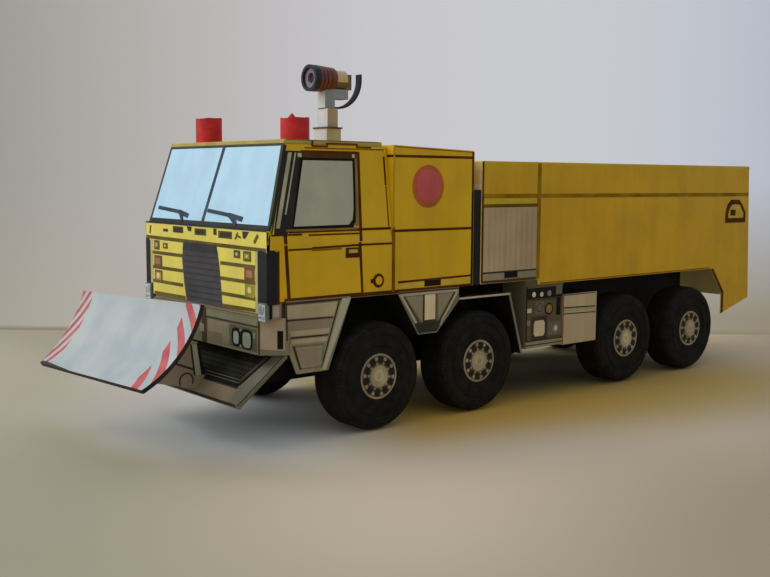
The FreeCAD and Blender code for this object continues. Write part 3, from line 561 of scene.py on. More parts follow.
# --- Cab roof ---
# A board glued on top, printed yellow, with stepped dark hatch lines that fold down over
# its sides. Its cut edges show the paler core of the board.
mix(card_ink, roof_edge=(180, 164, 88, 0.08))
folded("cab_roof", "roof_board", ["yellow_side", "roof_edge"], "yellow_card", 0.2,
       lambda centre, normal: abs(normal.z) <= 0.8)
roof_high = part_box("cab_roof")[1]
roof_side = ((CAB_FRONT, roof_high.y, 0), BACK, UP, LEFT)
both_sides("roof_edge_lines", roof_side, [
    ("line_brown", 1, (18.4, 27.4, 69, 69.35), (18.2, 18.7, 68.9, 69.35), (27, 27.5, 68.9, 69.35),
     (14, 14.5, 68.9, 69.85)),
    ("line_soft", 1, (7, 34, 69.72, 69.88))])
both_sides("hatch_lines", side_high, [
    ("line_brown", 1, (14, 18.7, 68.3, 68.7), (27, 31.6, 68.3, 68.7), (18.2, 18.7, 68.3, 68.85),
     (27, 27.5, 68.3, 68.85), (14, 14.5, 68.3, 68.85))])
roof_top = ((CAB_FRONT, 0, roof_high.z), BACK, LEFT, UP)
print_on("roof_print", roof_top, [
    ("line_brown", 1, (7.6, 34, -25.2, 25.2)), ("yellow_side", 2, (8, 33.6, -24.8, 24.8)),
    ("line_brown", 3, (19, 31, -7.5, 7.5)), ("yellow_side", 4, (19.5, 30.5, -7, 7)),
    ("line_brown", 5, (20.4, 21.4, -1.6, 1.6)),
    ("line_soft", 3, (9.4, 32.4, 12.2, 12.6), (9.4, 32.4, -12.6, -12.2))])

# --- Steps ---
# A flat grey panel at each side below the door, printed with step treads and a framed
# lower box, and edged with a paler rim where the mudguard begins.
def cut_card(name, colour):
    """Unbleached grey card, printed in two close tones."""
    card_ink(name, colour, 0.07, 0.6)


def folded_pair(node, name, *rest):
    """The same folded piece on the left side and on the right."""
    for side in ("_left", "_right"):
        folded(node + side, name + side, *rest)


mix(cut_card, grey_card_ink=(152, 140, 108), grey_dark=(120, 112, 88),
    tread_cream=(178, 164, 128), tread_shade=(148, 132, 106), rim_pale=(184, 178, 150))
mix(ink, rule_dark=(58, 46, 28, 0.15), shade_green=(40, 42, 30, 0.15))
folded_pair("step_panel", "step", ["grey_card_ink"], "grey_card", 0)
both_sides("step_print", side_low, [
    ("rule_dark", 1, (4.6, 22.4, 32.7, 33.3)),
    ("rim_pale", 2, (15, 16.9, 15.9, 16.9, 23.4, 33.2, 20.8, 33.2)),
    ("rule_dark", 2, (14.7, 17.4, 19.9, 32.6, 0.35)),
    ("tread_cream", 1, (5.2, 32.5, 19.5, 32.5, 18.4, 29.3, 5.2, 29.5)),
    ("rule_dark", 2, (5.2, 29.4, 18.2, 29.1, 18, 28.75, 5.2, 29)),
    ("tread_shade", 1, (5.4, 28.8, 17.9, 28.6, 17.2, 26.6, 5.8, 26.8)),
    ("tread_cream", 1, (5.8, 26.7, 17.2, 26.5, 16.9, 25.3, 6.2, 25.5)),
    ("rule_dark", 2, (6.2, 25.3, 16.8, 25.1, 16.7, 24.75, 6, 24.9)),
    ("tread_cream", 1, (6.4, 24.7, 16.5, 24.5, 16.2, 23.5, 6.6, 23.7)),
    ("grey_dark", 2, (6.6, 23.3, 15.6, 23.1, 14.9, 17.5, 8.6, 17.5)),
    ("rule_dark", 3, (6.9, 23.1, 8.8, 17.6, 0.5)),
    ("grey_card_ink", 4, (7.3, 22.8, 14.9, 22.6, 14.5, 17.9, 9, 17.9)),
    ("tread_shade", 5, (7.8, 22.3, 13.9, 22.1, 13.8, 18.6, 9.4, 18.6)),
    ("rule_dark", 1, (5, 33, 5.2, 24.6, 0.35))])

# --- Mudguards ---
# One long strip of card on each side, folded down behind the step, up over the valley
# between the first two wheels and round the second. Pale outside edge, dark underside.
mix(ink, guard_green=(112, 114, 96, 0.12))
folded_pair("mudguard", "mudguard", ["black_card_ink", "guard_green"], "black_card", 0.1,
            lambda centre, normal: abs(normal.y) > 0.8)
both_sides("guard_rims", ((CAB_FRONT, HALF + 0.02 * MM, 0), BACK, UP, LEFT), [
    ("rim_pale", 2, (58.9, 78, 30.1, 30.62)),
    ("guard_green", 1, (77.3, 30.6, 78.1, 30.6, 83.4, 13.6, 82.6, 13.5))])

# --- Valances ---
# The grey V between the first two wheels: pale rims down both edges, an upright pale strip
# between two panels, and a dark green tip.
mix(cut_card, valance_strip=(222, 204, 160))
folded_pair("valance", "valance", ["grey_dark"], "grey_card", 0)
both_sides("valance_print", side_low, [
    ("rule_dark", 1, (38.4, 58.6, 32.9, 33.3)), ("tread_cream", 1, (38.6, 58.4, 32.3, 32.9)),
    ("shade_green", 3, (43.6, 25.2, 52.6, 25.2, 51.1, 22.7, 44.9, 22.7)),
    ("rim_pale", 2, (38.8, 32.4, 39.5, 32.4, 45, 24.5, 44.6, 24),
     (57.9, 32.4, 58.6, 32.4, 52.4, 24, 52, 24.5)),
    ("rule_dark", 2, (40, 32.2, 45.4, 24.9, 0.3), (57.3, 32.2, 51.7, 24.9, 0.3)),
    ("grey_card_ink", 1, (40.8, 32, 46.2, 32, 46.2, 25.2), (51.6, 32, 56.7, 32, 51.6, 25.4)),
    ("rule_dark", 3, (46.4, 50.8, 25.2, 32.3)), ("valance_strip", 4, (46.8, 50.4, 25.8, 32.2)),
    ("rule_dark", 4, (44.2, 52.2, 24.9, 25.3)),
    ("line_brown", 1, (23.4, 38.4, 33.2, 33.5))])

# --- Bumper ---
# A folded box across the nose with slanted ends. Printed with a light upper strip, a dark
# lamp housing at each side and a slot in each corner.
mix(cut_card, bumper_tan=(142, 128, 99), bumper_field=(122, 112, 84), strip_green=(124, 124, 97),
    housing_green=(88, 86, 66), corner_tan=(184, 162, 136))
mix(ink, housing_dark=(56, 53, 42, 0.15), lamp_glass=(150, 159, 144, 0.08, 0.25),
    corner_pink=(196, 170, 158, 0.1))
folded("bumper", "bumper", ["bumper_tan", "rule_dark"], "grey_card", 0.25,
       lambda centre, normal: normal.z > 0.8)


def rounded(a0, a1, b0, b1):
    """Outline of a mark with well rounded corners."""
    return [((a0 + a1) / 2 + (a1 - a0) / 2 * math.copysign(abs(a) ** 0.6, a),
             (b0 + b1) / 2 + (b1 - b0) / 2 * math.copysign(abs(b) ** 0.6, b))
            for a, b in dot(0, 0, 1, 24)]


bumper_marks = [
    ("bumper_field", 1, (-25.1, 25.1, 21.3, 29.9)), ("rule_dark", 2, (-25.1, 25.1, 27.5, 27.9)),
    ("strip_green", 2, (-25, 25, 28, 29.3), (-25.1, 25.1, 21.3, 21.75)),
    ("rule_dark", 3, (0, 2.2, 21.4, 29.8)), ("grey_card_ink", 4, (-0.9, 1.1, 23.9, 25.8)),
    ("bumper_tan", 2, (3, 12.2, 24.4, 27.2), (-12.2, -3, 24.4, 27.2))]
for side in (1, -1):
    bumper_marks += [
        ("strip_green", 3, (side * 9.6, side * 12.8, 22.2, 26.6)),
        ("housing_green", 3, (side * 13.2, side * 24.4, 22, 27.1))]
    for colour, layer, a0, a1, b0, b1 in (
            ("line_black", 4, 14.0, 18.0, 22.2, 26.6), ("line_black", 4, 17.9, 23.0, 22.0, 26.7),
            ("lamp_glass", 5, 14.8, 17.1, 22.8, 25.8), ("lamp_glass", 5, 18.8, 22.3, 22.4, 26.0)):
        lamp = rounded(*sorted((side * a0, side * a1)), b0, b1)
        bumper_marks.append((colour, layer, lamp))
    bumper_marks += [
        ("lamp_glass", 5, (side * 17.6, side * 18.2, 25.9, 26.5)),
        ("bumper_tan", 4, (side * 23.3, side * 24.2, 25, 26.3)),
        ("lamp_glass", 5, (side * 17.6, side * 18.2, 22.3, 22.8))]
print_on("bumper_print", nose, bumper_marks)
corner_run = Vector((-4.9, 3.85, 0))
corner_sheet = ((CAB_FRONT, HALF - corner_run.y * MM, 0), corner_run.normalized(), UP,
                Vector((corner_run.y, -corner_run.x, 0)).normalized())
both_sides("bumper_corner_print", corner_sheet, [
    ("rule_dark", 1, (0, 0.3, 21.4, 29.6)), ("corner_tan", 1, (0.4, 6, 22.4, 29.8)),
    ("strip_green", 2, (0.3, 21.4, 6, 21.5, 6, 22.3, 0.3, 22.7)),
    ("line_black", 2, (4.25, 5.6, 22.7, 26.9))])
card_box("corner_return", (cab_front - 4.8, 26.0, 29.6), (cab_front - 0.7, 28.7, 33.4),
         "bumper_tan")
both_sides("corner_return_print", ((CAB_FRONT, 28.7 * MM, 0), BACK, UP, LEFT), [
    ("line_black", 1, (0.7, 1.4, 29.8, 33.3)), ("corner_pink", 1, (1.7, 3.2, 30.2, 33)),
    ("rule_dark", 1, (3.9, 4.7, 29.8, 33.3))])

# --- Skid plate ---
# A sloping board under the bumper that tapers towards its foot. It is printed with a wide
# dark mesh panel that runs up to the bumper, so its upper part is also painted shadow under
# the bumper; the rims down the sides are light grey and the foot is tan.
mix(ink, mesh_dark=(30, 32, 26, 0.25, 0.8, 0.1), mesh_wire=(52, 52, 42, 0.2, 0.8, 0.1),
    wire_light=(110, 106, 88, 0.15, 0.7, 0.1))
mix(cut_card, skid_tan=(160, 142, 120), skid_rim=(132, 128, 113))
folded("skid_plate", "skid_plate", ["grey_dark"], "grey_card", 0.1)
skid_run, skid_drop = 9.0, 12.0
skid_sheet = ((CAB_FRONT + (21.2 * skid_run / skid_drop - 4.9) * MM, 0, 0), LEFT,
              (-skid_run / skid_drop, 0, 1), Vector((skid_drop, 0, skid_run)).normalized())
mesh_top, mesh_foot, mesh_wide, mesh_narrow = 20.3, 12.9, 24.0, 18.2


def mesh_edge(b, inside=0.0):
    """Half the mesh panel's width at height b, less a margin."""
    rise = (b - mesh_foot) / (mesh_top - mesh_foot)
    return mesh_narrow + (mesh_wide - mesh_narrow) * rise - inside


# The mesh panel's upper part, right under the bumper, is painted shadow as well as print.
skid_marks = [
    ("skid_tan", 1, (-22.4, 9.3, 22.4, 9.3, 25, 13.4, -25, 13.4)),
    ("shade_green", 2, (-21.8, 21.8, 9.25, 9.7)), ("housing_dark", 2, (-18.6, 18.6, 12.6, 13)),
    ("mesh_dark", 3, (-mesh_narrow, mesh_foot, mesh_narrow, mesh_foot, mesh_wide, mesh_top,
     -mesh_wide, mesh_top))]
for inside in (0.9, 1.5):
    b = mesh_foot + inside
    a0, a1 = mesh_edge(b, inside), mesh_edge(mesh_top, inside)
    skid_marks.append(("wire_light", 5, (-a0, b, a0, b, 0.16), (a0, b, a1, mesh_top - 0.3, 0.16),
                       (-a0, b, -a1, mesh_top - 0.3, 0.16)))
for k in range(5):
    b = mesh_foot + 2.2 + 0.95 * k
    skid_marks.append(("mesh_wire", 4, (-mesh_edge(b, 1.8), b, mesh_edge(b, 1.8), b, 0.2)))
for k in range(-13, 14):
    a = 1.3 * k
    skid_marks.append(("mesh_wire", 4, (a * 0.98, mesh_foot + 1.8, a * 1.25, mesh_top - 0.5, 0.2)))
skid_rims = (("skid_rim", 2, ((22.6, 9.4), (18.6, 9.9), (18.6, 12.9), (25, 20.8), (28.6, 20.9))),
             ("shade_green", 3, ((22.5, 9.6), (22.1, 9.6), (28.1, 20.9), (28.5, 20.9))))
for side in (1, -1):
    for colour, layer, corners in skid_rims:
        skid_marks.append((colour, layer, [(side * a, b) for a, b in corners][::side]))
print_on("skid_print", skid_sheet, skid_marks)

# --- Push arm ---
# A narrow folded arm between the skid plate and the back of the blade. Grey print with a
# light rim up its rear edge, a dark fold line and the upper part of a round boss.
folded("push_arm", "push_arm", ["skid_tan", "grey_dark"], "brown_paper", 0.15,
       lambda centre, normal: abs(normal.y) <= 0.8)
arm_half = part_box("push_arm")[1].y
arch = [dot(0, 0, 1, 36)[k % 36] for k in range(-3, 22)]
boss = [(-6.2 + 2.0 * a, 12.7 + 2.0 * b) for a, b in arch]
boss += [(-6.2 + 1.6 * a, 12.7 + 1.6 * b) for a, b in reversed(arch)]
both_sides("arm_print", ((CAB_FRONT, arm_half, 0), BACK, UP, LEFT), [
    ("rim_pale", 2, (-3.3, 21.4, -4.6, 21.4, -3.7, 13.8, -2.2, 13.8)),
    ("housing_dark", 1, (-4.6, 21.4, -5.1, 21.4, -4.2, 13.8, -3.7, 13.8)),
    ("mesh_dark", 1, (-3.3, 21.5, -2.9, 21.5, -0.9, 13.6, -2.2, 13.8)),
    ("rule_dark", 1, (-8.9, 17.1, -2.6, 14.6, 0.5)), ("housing_dark", 1, boss)])

# --- Blade ---
# A curved white board glued askew on the arm. Red and white warning stripes run slantwise
# down both ends; a dark strip along the foot of the face is painted shadow from the board's
# underside, the face is otherwise bare and its cut edges are dark.
def reckon(kind, *values, clamp=False):
    """A sum worked out at every point; its first value is another node's output."""
    return add(values[0].id_data, "Math", dict(enumerate(values)),
               operation=kind, use_clamp=clamp).outputs[0]


# The stripes fill a band's width inside either slanting end, and a strip along the foot is
# painted dark as the shadow under the blade.
tree = started("blade_face", 0.5)
low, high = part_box("blade")
place = add(tree, "SeparateXYZ", {"Vector": own_place(tree)}).outputs
across = reckon("SUBTRACT", place["Y"], (low.y + high.y) / 2)
rise = reckon("SUBTRACT", place["Z"], low.z)
level = reckon("SUBTRACT", rise, reckon("MULTIPLY", across, 0.04))
edge = reckon("MULTIPLY_ADD", level, 0.142, 27.6 * MM)
outwards = reckon("ABSOLUTE", across)
band = reckon("LESS_THAN", reckon("SUBTRACT", edge, outwards), 6.6 * MM)
far_end = reckon("LESS_THAN", across, 0.0)
slant = reckon("MULTIPLY_ADD", outwards, reckon("MULTIPLY_ADD", far_end, 0.9, 0.9), level)
pitch = reckon("MULTIPLY_ADD", far_end, 0.629 * MM, 5.549 * MM)
turn = reckon("FRACT", reckon("DIVIDE", reckon("ADD", slant, 4.86 * MM), pitch))
striped = reckon("MULTIPLY", band, reckon("LESS_THAN", turn, 0.5))
foot_shadow_line = reckon("MULTIPLY_ADD", across, -0.034, 1.6 * MM)
foot_shadow_band = reckon("LESS_THAN", level, reckon("MINIMUM", foot_shadow_line, 2.4 * MM))
white = between(noise(tree, 110, 5), (165, 178, 183), (183, 190, 191))
red = between(noise(tree, 300, 4), (176, 68, 74), (196, 96, 98))
face = blend(tree, foot_shadow_band, blend(tree, striped, white, red), plain(50, 46, 44))
coat(tree, face, noise(tree, 1900, 4), 0.3, 0.00005)
mix(cut_card, blade_back=(170, 166, 156))
mix(ink, blade_edge=(34, 22, 20, 0.25))


def blade_finish(centre, normal):
    """The printed face, the plain back and the cut edges round them."""
    if abs(normal.y) < 0.5 and normal.x > 0.3 and normal.z > 0.2:
        return 0
    return 1 if abs(normal.y) < 0.5 and normal.x < -0.3 and normal.z < 0.1 else 2


folded("blade", "blade", ["blade_face", "blade_back", "blade_edge"], "white_board", 0,
       blade_finish)

# --- Crew module and spacer ---
# A square yellow box behind the cab, with one plain red disc on either side, ruled belts
# and a dark recessed handle. A narrower dark box keeps it off the tank.
mix(card_ink, disc_red=(214, 92, 92, 0.1), disc_rim=(196, 98, 40, 0.12),
    yellow_fore=(232, 190, 26), yellow_fold=(186, 146, 12), spacer_yellow=(196, 176, 120, 0.06))
# The front face and the rounded folds beside it take their own tones of the yellow card, set to how
# light falls on them: painted shade, the front for the cab's shadow on it and the folds darker to
# damp their highlight.
folded("crew_module", "crew_module", ["yellow_side", "yellow_fore", "yellow_fold"], "yellow_card",
       0.3, lambda centre, normal: 1 if normal.x > 0.97
       else 2 * (normal.x > 0.15 and abs(normal.y) > 0.15))
module_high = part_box("crew_module")[1]
print_on("module_front_print", ((module_high.x, 0, 0), LEFT, UP, AHEAD), [
    ("line_brown", 1, (-28.8, 28.8, 66.3, 66.95))])
folded("module_spacer", "module_spacer", ["black_card_ink", "spacer_yellow"], "black_card", 0.1,
       lambda centre, normal: normal.z > 0.8)
both_sides("module_print", side_low, [
    ("line_brown", 1, (36.8, 63, 66.3, 66.95), (62.9, 63.6, 57.8, 68.1)),
    ("line_soft", 1, (36.9, 68.75, 62.9, 67.9, 62.9, 68.15, 36.9, 69)),
    ("line_black", 1, (62.9, 63.6, 33.8, 57.8)), ("line_brown", 1, (37.6, 63.3, 48.2, 48.85)),
    ("line_soft", 1, (36.6, 37, 33.8, 49.4)),
    ("line_brown", 1, (36.6, 38.2, 48.2, 48.85), (38, 35.6, 63.2, 35.95, 63.2, 36.45, 38, 36.15)),
    ("olive_gold", 1, (38, 62.8, 34.4, 35.5)), ("line_black", 2, (46.7, 52.3, 34.3, 35.8)),
    ("line_brown", 1, (36.8, 63.4, 33.5, 34.1)), ("disc_rim", 1, dot(47.7, 59.3, 5.3, 40)),
    ("disc_red", 2, dot(47.8, 59.4, 4.1, 40))])
roof_fall = 0.9 / 27.4
module_top = ((CAB_FRONT, 0, module_high.z + 36.5 * MM * roof_fall), (-1, 0, -roof_fall), LEFT,
              Vector((-roof_fall, 0, 1)).normalized())
print_on("module_roof_print", module_top, [
    ("line_brown", 1, (44, 60, 6, 24)), ("yellow_side", 2, (44.4, 59.6, 6.4, 23.6)),
    ("line_brown", 3, (46, 47, 13.6, 16.4)), ("line_brown", 1, (44, 60, -24, -6)),
    ("yellow_side", 2, (44.4, 59.6, -23.6, -6.4)), ("line_brown", 3, (46, 47, -16.4, -13.6)),
    ("line_soft", 1, (62.6, 63, -28, 28))])

# --- Tank body ---
# The long yellow box over the rear wheels, its skirt hanging round the tail. A heavy ruled
# line runs its whole length; the first bay has a grey roller shutter with a bar handle.
mix(card_ink, inside_grey=(168, 166, 225, 0.06), tank_yellow=(212, 165, 12),
    tank_cream=(240, 224, 150), olive_strip=(206, 176, 24, 0.05),
    paper_white=(244, 242, 238, 0.03))
mix(cut_card, shutter_tan=(188, 164, 126), shutter_slat=(180, 158, 124),
    shutter_grey=(150, 138, 112))
mix(ink, line_heavy=(150, 110, 4, 0.12, 0.58, 0.08), frame_brown=(108, 82, 20, 0.12, 0.58, 0.1))
tank_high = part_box("tank_body")[1]
tank_floor = 32.3 * MM


def tank_finish(centre, normal):
    """Cream front, paler as painted light; bare card inside the skirt and below, painted blue-grey
    shade; and yellow elsewhere.
    """
    if normal.x > 0.7:
        return 2
    inside = abs(centre.y) < HALF - 0.3 * MM and normal.x > -0.5 and abs(normal.z) < 0.98
    return centre.z < tank_floor and (inside or normal.z < -0.98)


folded("tank_body", "tank_body", ["tank_yellow", "inside_grey", "tank_cream"], "yellow_card", 0.3,
       tank_finish)
tank_marks = [
    ("line_heavy", 1, (66.9, 57.3, 195.4, 57, 195.4, 55.8, 66.9, 56.2)),
    # The olive strip just under the top edge of each side is painted shade under the roof's edge.
    ("olive_strip", 1, (67.4, 195.2, 65, 65.6), (67.4, 88, 54.6, 56.1)),
    ("line_heavy", 2, (88.2, 89.6, 33.8, 65.6)), ("line_brown", 2, (66.7, 67.3, 33.8, 65.7)),
    ("frame_brown", 2, (67.3, 88.2, 53.5, 54.6)), ("shutter_tan", 3, (67.4, 88.1, 36.7, 53.7)),
    ("rule_dark", 2, (67.3, 88.2, 36.1, 36.7)), ("shutter_grey", 3, (67.4, 88.1, 34.4, 36.2)),
    ("line_black", 4, (75.5, 80.6, 34.7, 36.4)), ("rule_dark", 2, (67.3, 88.2, 33.7, 34.4))]
for k in range(9):
    tank_marks.append(("shutter_slat", 4, (69.2 + 2.1 * k, 69.7 + 2.1 * k, 36.9, 53.4)))
tank_marks += [
    ("line_brown", 2, (181.6, 47, 193.8, 47, 193.8, 50.4, 191.6, 53.2, 189.6, 54.7, 184.6, 54.7,
     182.6, 53, 181.6, 50.6)),
    ("olive_strip", 3, (183.2, 48.6, 192.3, 48.6, 192.3, 50.1, 190.6, 52.1, 188.9, 53.1,
     185.4, 53.1, 184.1, 52, 183.2, 50.2)),
    ("line_brown", 4, (184.4, 187.4, 49.4, 51.4)), ("olive_gold", 4, (187.8, 190.4, 50, 52.8)),
    ("line_soft", 1, (90, 174, 32.3, 32.6)),
    ("line_brown", 2, (174.3, 32, 181.2, 23.5, 181.2, 16.6, 182.3, 17, 182.3, 23.9, 175.6, 32.1))]
both_sides("tank_print", side_low, tank_marks)
spacer_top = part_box("module_spacer")[1].z / MM
# A pale strip just above the spacer on the tank's front: bare card with painted light on it.
print_on("tank_front_print", ((tank_high.x, 0, 0), LEFT, UP, AHEAD), [
    ("paper_white", 1, (-28.4, 28.4, spacer_top + 0.1, spacer_top + 1.3))])
tank_top = ((CAB_FRONT, 0, tank_high.z), BACK, LEFT, UP)
tank_top_marks = [
    ("line_soft", 1, (69, 193, 24.4, 24.8), (69, 193, -24.8, -24.4)),
    ("line_brown", 1, (88.6, 89, -28.4, 28.4), dot(112, 0, 8, 40)),
    ("tank_yellow", 2, dot(112, 0, 7.5, 40)), ("line_brown", 3, (111.4, 112.6, -2.4, 2.4)),
    ("line_brown", 1, (140, 172, -12, 12)), ("tank_yellow", 2, (140.5, 171.5, -11.5, 11.5))]
for k in range(7):
    tank_top_marks.append(("line_soft", 3, (144 + 4 * k, 144.5 + 4 * k, -10, 10)))
print_on("tank_roof_print", tank_top, tank_top_marks)
tail_lean = 2.6 / (65.9 - 21.0)
tail_sheet = ((CAB_FRONT - (195.2 + tail_lean * 65.9) * MM, 0, 0), (0, -1, 0), (tail_lean, 0, 1),
              Vector((-1, 0, tail_lean)).normalized())
tail_marks = [
    ("line_heavy", 1, (-28.9, 28.9, 55.9, 57)), ("line_brown", 1, (-17, 17, 33, 53)),
    ("shutter_tan", 2, (-16.3, 16.3, 36, 52.3)), ("grey_card_ink", 2, (-16.3, 16.3, 33.6, 35.4)),
    ("line_black", 3, (-3, 3, 33.8, 35.2))]
for k in range(10):
    tail_marks.append(("shutter_slat", 3, (-15.6, 15.6, 36.6 + 1.55 * k, 37.3 + 1.55 * k)))
for side in (1, -1):
    lamp, ladder = (side * 21.5, side * 25.9), (side * 20.9, side * 26.5)
    tail_marks += [
        ("line_brown", 1, (side * 21, side * 26.4, 24, 31)), ("disc_red", 2, (*lamp, 27.7, 30.5)),
        ("lamp_brown", 2, (*lamp, 24.5, 27.3)),
        ("line_brown", 1, (side * 20.4, side * 20.9, 34, 53), (side * 26.5, side * 27, 34, 53))]
    for k in range(6):
        tail_marks.append(("line_brown", 1, (*ladder, 35.6 + 3.2 * k, 36 + 3.2 * k)))
print_on("tail_print", tail_sheet, tail_marks)

# --- Pump panels ---
# A control panel on each side behind the second wheel, printed with lamps, gauges, knobs
# and a pale plate in a dark frame.
mix(ink, panel_dark=(26, 23, 16, 0.2, 0.58, 0.1), knob_pale=(206, 198, 170, 0.08, 0.35),
    knob_yellow=(140, 116, 48, 0.12, 0.35), knob_violet=(134, 112, 118, 0.1, 0.35))
mix(cut_card, panel_olive=(94, 82, 52), gauge_grey=(112, 100, 84), plate_pale=(216, 196, 156))
folded_pair("pump_panel", "pump_panel", ["panel_olive", "grey_dark"], "grey_card", 0.15,
            lambda centre, normal: abs(normal.y) <= 0.8)
both_sides("pump_print", side_low, [
    ("panel_dark", 1, (84.6, 99.8, 28.2, 31.2)),
    ("knob_pale", 2, dot(87.6, 29.4, 0.75, 16), dot(90.8, 29.3, 0.7, 16)),
    ("knob_violet", 2, dot(94, 29.4, 0.85, 16)), ("gauge_grey", 2, (96.8, 99.4, 28.9, 31.6)),
    ("rule_dark", 1, (84.5, 99.9, 27.7, 28.1)), ("gauge_grey", 1, (88.4, 91.8, 23.8, 27.3)),
    ("rule_dark", 2, dot(90.1, 25.6, 1.3, 20)), ("gauge_grey", 3, dot(90.1, 25.6, 1.05, 20)),
    ("knob_yellow", 2, dot(94, 25, 1.25, 20)), ("panel_dark", 1, dot(94, 25, 1.7, 20)),
    ("knob_pale", 2, (85, 86.7, 24.4, 25.6)), ("knob_violet", 2, dot(85.5, 21.6, 0.8, 16)),
    ("rule_dark", 1, (86.8, 93.3, 16.4, 23.2)),
    ("plate_pale", 2, (88.4, 17.6, 91.7, 17.6, 92.3, 18.3, 92.3, 21.2, 91.7, 22, 88.4, 22,
     87.8, 21.2, 87.8, 18.3)),
    ("gauge_grey", 1, (93.8, 99.4, 17.4, 21.2)), ("knob_violet", 2, dot(96.9, 19.3, 1.35, 20)),
    ("knob_pale", 3, dot(96.9, 19.3, 0.75, 14)), ("line_black", 2, (97.2, 98.9, 23, 28)),
    ("rule_dark", 1, (84.6, 99.9, 16.3, 16.7)), ("grey_card_ink", 1, (84.6, 99.9, 14.5, 16.2)),
    ("rule_dark", 2, (84.6, 99.9, 15.1, 15.4)),
    ("panel_dark", 2, (84.45, 84.9, 16.6, 31.8))])

# --- Stowage boxes ---
# A plain beige-grey box on each side behind the pump panel, ruled across the middle where
# its lid would meet. Its top and a thin strip along the top of its side are dark: painted shade
# under the tank.
mix(cut_card, stowage_beige=(190, 170, 134), stowage_green=(170, 160, 118))
# The top face takes the dark ink as painted shade under the tank.
folded_pair("stowage_box", "stowage_box", ["stowage_beige", "panel_dark"], "grey_card", 0.25,
            lambda centre, normal: normal.z > 0.8)
both_sides("stowage_print", side_low, [
    ("rule_dark", 1, (100.2, 24.5, 114.4, 24.1, 114.4, 24.45, 100.2, 24.9)),
    ("stowage_green", 1, (100.2, 23.7, 114.6, 23.3, 114.6, 24.1, 100.2, 24.5)),
    # The thin dark strip along the box's top edge, in the next mark, is painted shade under the
    # tank.
    ("rule_dark", 1, (100.2, 22.8, 114.6, 22.4, 114.6, 22.7, 100.2, 23.1),
     (100.2, 28.2, 114.6, 28.15, 114.6, 28.4, 100.2, 28.5)),
    ("line_soft", 1, (100.1, 100.4, 14.2, 28.2))])

# --- Beacons ---
# Red paper rolled up tight and stood on end. The rolled layers show on top, and the left
# one ends in a torn tip.
tree = started("beacon_red", 0.55)
creases = noise(tree, 900, 4, (1, 1, 0.4))
coat(tree, between(noise(tree, 350, 5), (180, 27, 32), (206, 46, 44)), creases, 0.5, 0.00012)
for side in ("left", "right"):
    low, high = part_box(f"beacon_{side}")
    beacon = start(f"beacon_roll_{side}", ["beacon_red"], bpy.ops.mesh.primitive_cylinder_add,
                   vertices=40, radius=(high.x - low.x) / 2, depth=high.z - low.z,
                   location=(low + high) / 2)
    choose(beacon, lambda centre, normal: normal.z > 0.9)
    inset((0.32, 0), (0.12, -0.25), (0.3, 0), (0.1, 0.2), (0.4, 0), (0.12, -0.35), (0.5, 0),
          (0.15, -0.6))
    close()
    for corner in beacon.data.vertices:
        turn = math.atan2(corner.co.y - (low.y + high.y) / 2, corner.co.x - (low.x + high.x) / 2)
        if corner.co.z > high.z - 1.0 * MM:
            wave = 0.12 * math.sin(2 * turn + 1.2) + 0.07 * math.sin(5 * turn)
            corner.co.z -= (0.14 + wave) * MM
    bpy.ops.object.shade_smooth_by_angle(angle=math.radians(30))
    fit(beacon, "truck", f"beacon_{side}")
low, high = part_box("beacon_left")
tip_place = ((low.x + high.x) / 2 + 0.4 * MM, (low.y + high.y) / 2 - 0.6 * MM, high.z + 0.2 * MM)
tip = start("beacon_torn_tip", ["beacon_red"], bpy.ops.mesh.primitive_cone_add, vertices=9,
            radius1=1.5 * MM, radius2=0.2 * MM, depth=1.5 * MM, location=tip_place)
bpy.ops.mesh.subdivide(number_cuts=2, fractal=1.6, seed=4)
close()
fit(tip)

# --- Water monitor ---
# A paper water cannon on the module's roof: square base and post, a yoke with a curved
# guide behind it, and a rolled barrel with a dark muzzle ring and a lighter breech.
mix(cut_card, base_olive=(192, 184, 146), post_brown=(176, 160, 132), post_white=(206, 211, 214),
    yoke_blue=(140, 152, 162), breech_tan=(206, 182, 140), breech_olive=(110, 102, 72))
mix(ink, guide_black=(15, 17, 24, 0.2), barrel_brown=(118, 58, 44, 0.15, 0.4),
    barrel_dark=(50, 26, 22, 0.15, 0.4), muzzle_navy=(36, 40, 58, 0.15, 0.4),
    muzzle_violet=(132, 118, 130, 0.1, 0.4), flange_dark=(74, 66, 56, 0.15))
flange_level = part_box("monitor_post")[0].z - 0.45 * MM
yoke_foot, yoke_head = (corner.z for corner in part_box("monitor_yoke"))
yoke_middle = (yoke_foot + yoke_head) / 2
breech_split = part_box("monitor_breech")[0].x + 2.05 * MM
# Faces turned to the window take a white copy of their paper, painted light.
folded("monitor_base", "monitor_base", ["base_olive", "post_white", "flange_dark"], "tan_paper",
       0.08, lambda centre, normal: 2 if centre.z > flange_level else normal.x > 0.8)
folded("monitor_post", "monitor_post", ["post_brown", "post_white"], "tan_paper", 0.12,
       lambda centre, normal: normal.x > 0.8)
folded("monitor_yoke", "monitor_yoke", ["yoke_blue", "post_white", "guide_black"], "tan_paper",
       0.1, lambda centre, normal: 2 if centre.z < yoke_foot + 0.2 * MM
       else normal.x > 0.8 and centre.z > yoke_middle)
folded("monitor_guide", "monitor_guide", ["guide_black"], "black_card", 0.05)


def rolled(node, name, finishes, cuts):
    """A rolled paper tube between the node's ends, cut at these shares of its length."""
    low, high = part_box(node)
    length, middle = high.x - low.x, (low + high) / 2
    piece = start(name, finishes, bpy.ops.mesh.primitive_cylinder_add, vertices=40,
                  radius=(high.y - low.y) / 2, depth=length, location=middle,
                  rotation=(0, math.radians(90), 0))
    for share in cuts:
        bpy.ops.mesh.select_all(action="SELECT")
        bpy.ops.mesh.bisect(plane_co=(high.x - length * share, middle.y, middle.z), plane_no=AHEAD)
    return piece, low, high, middle


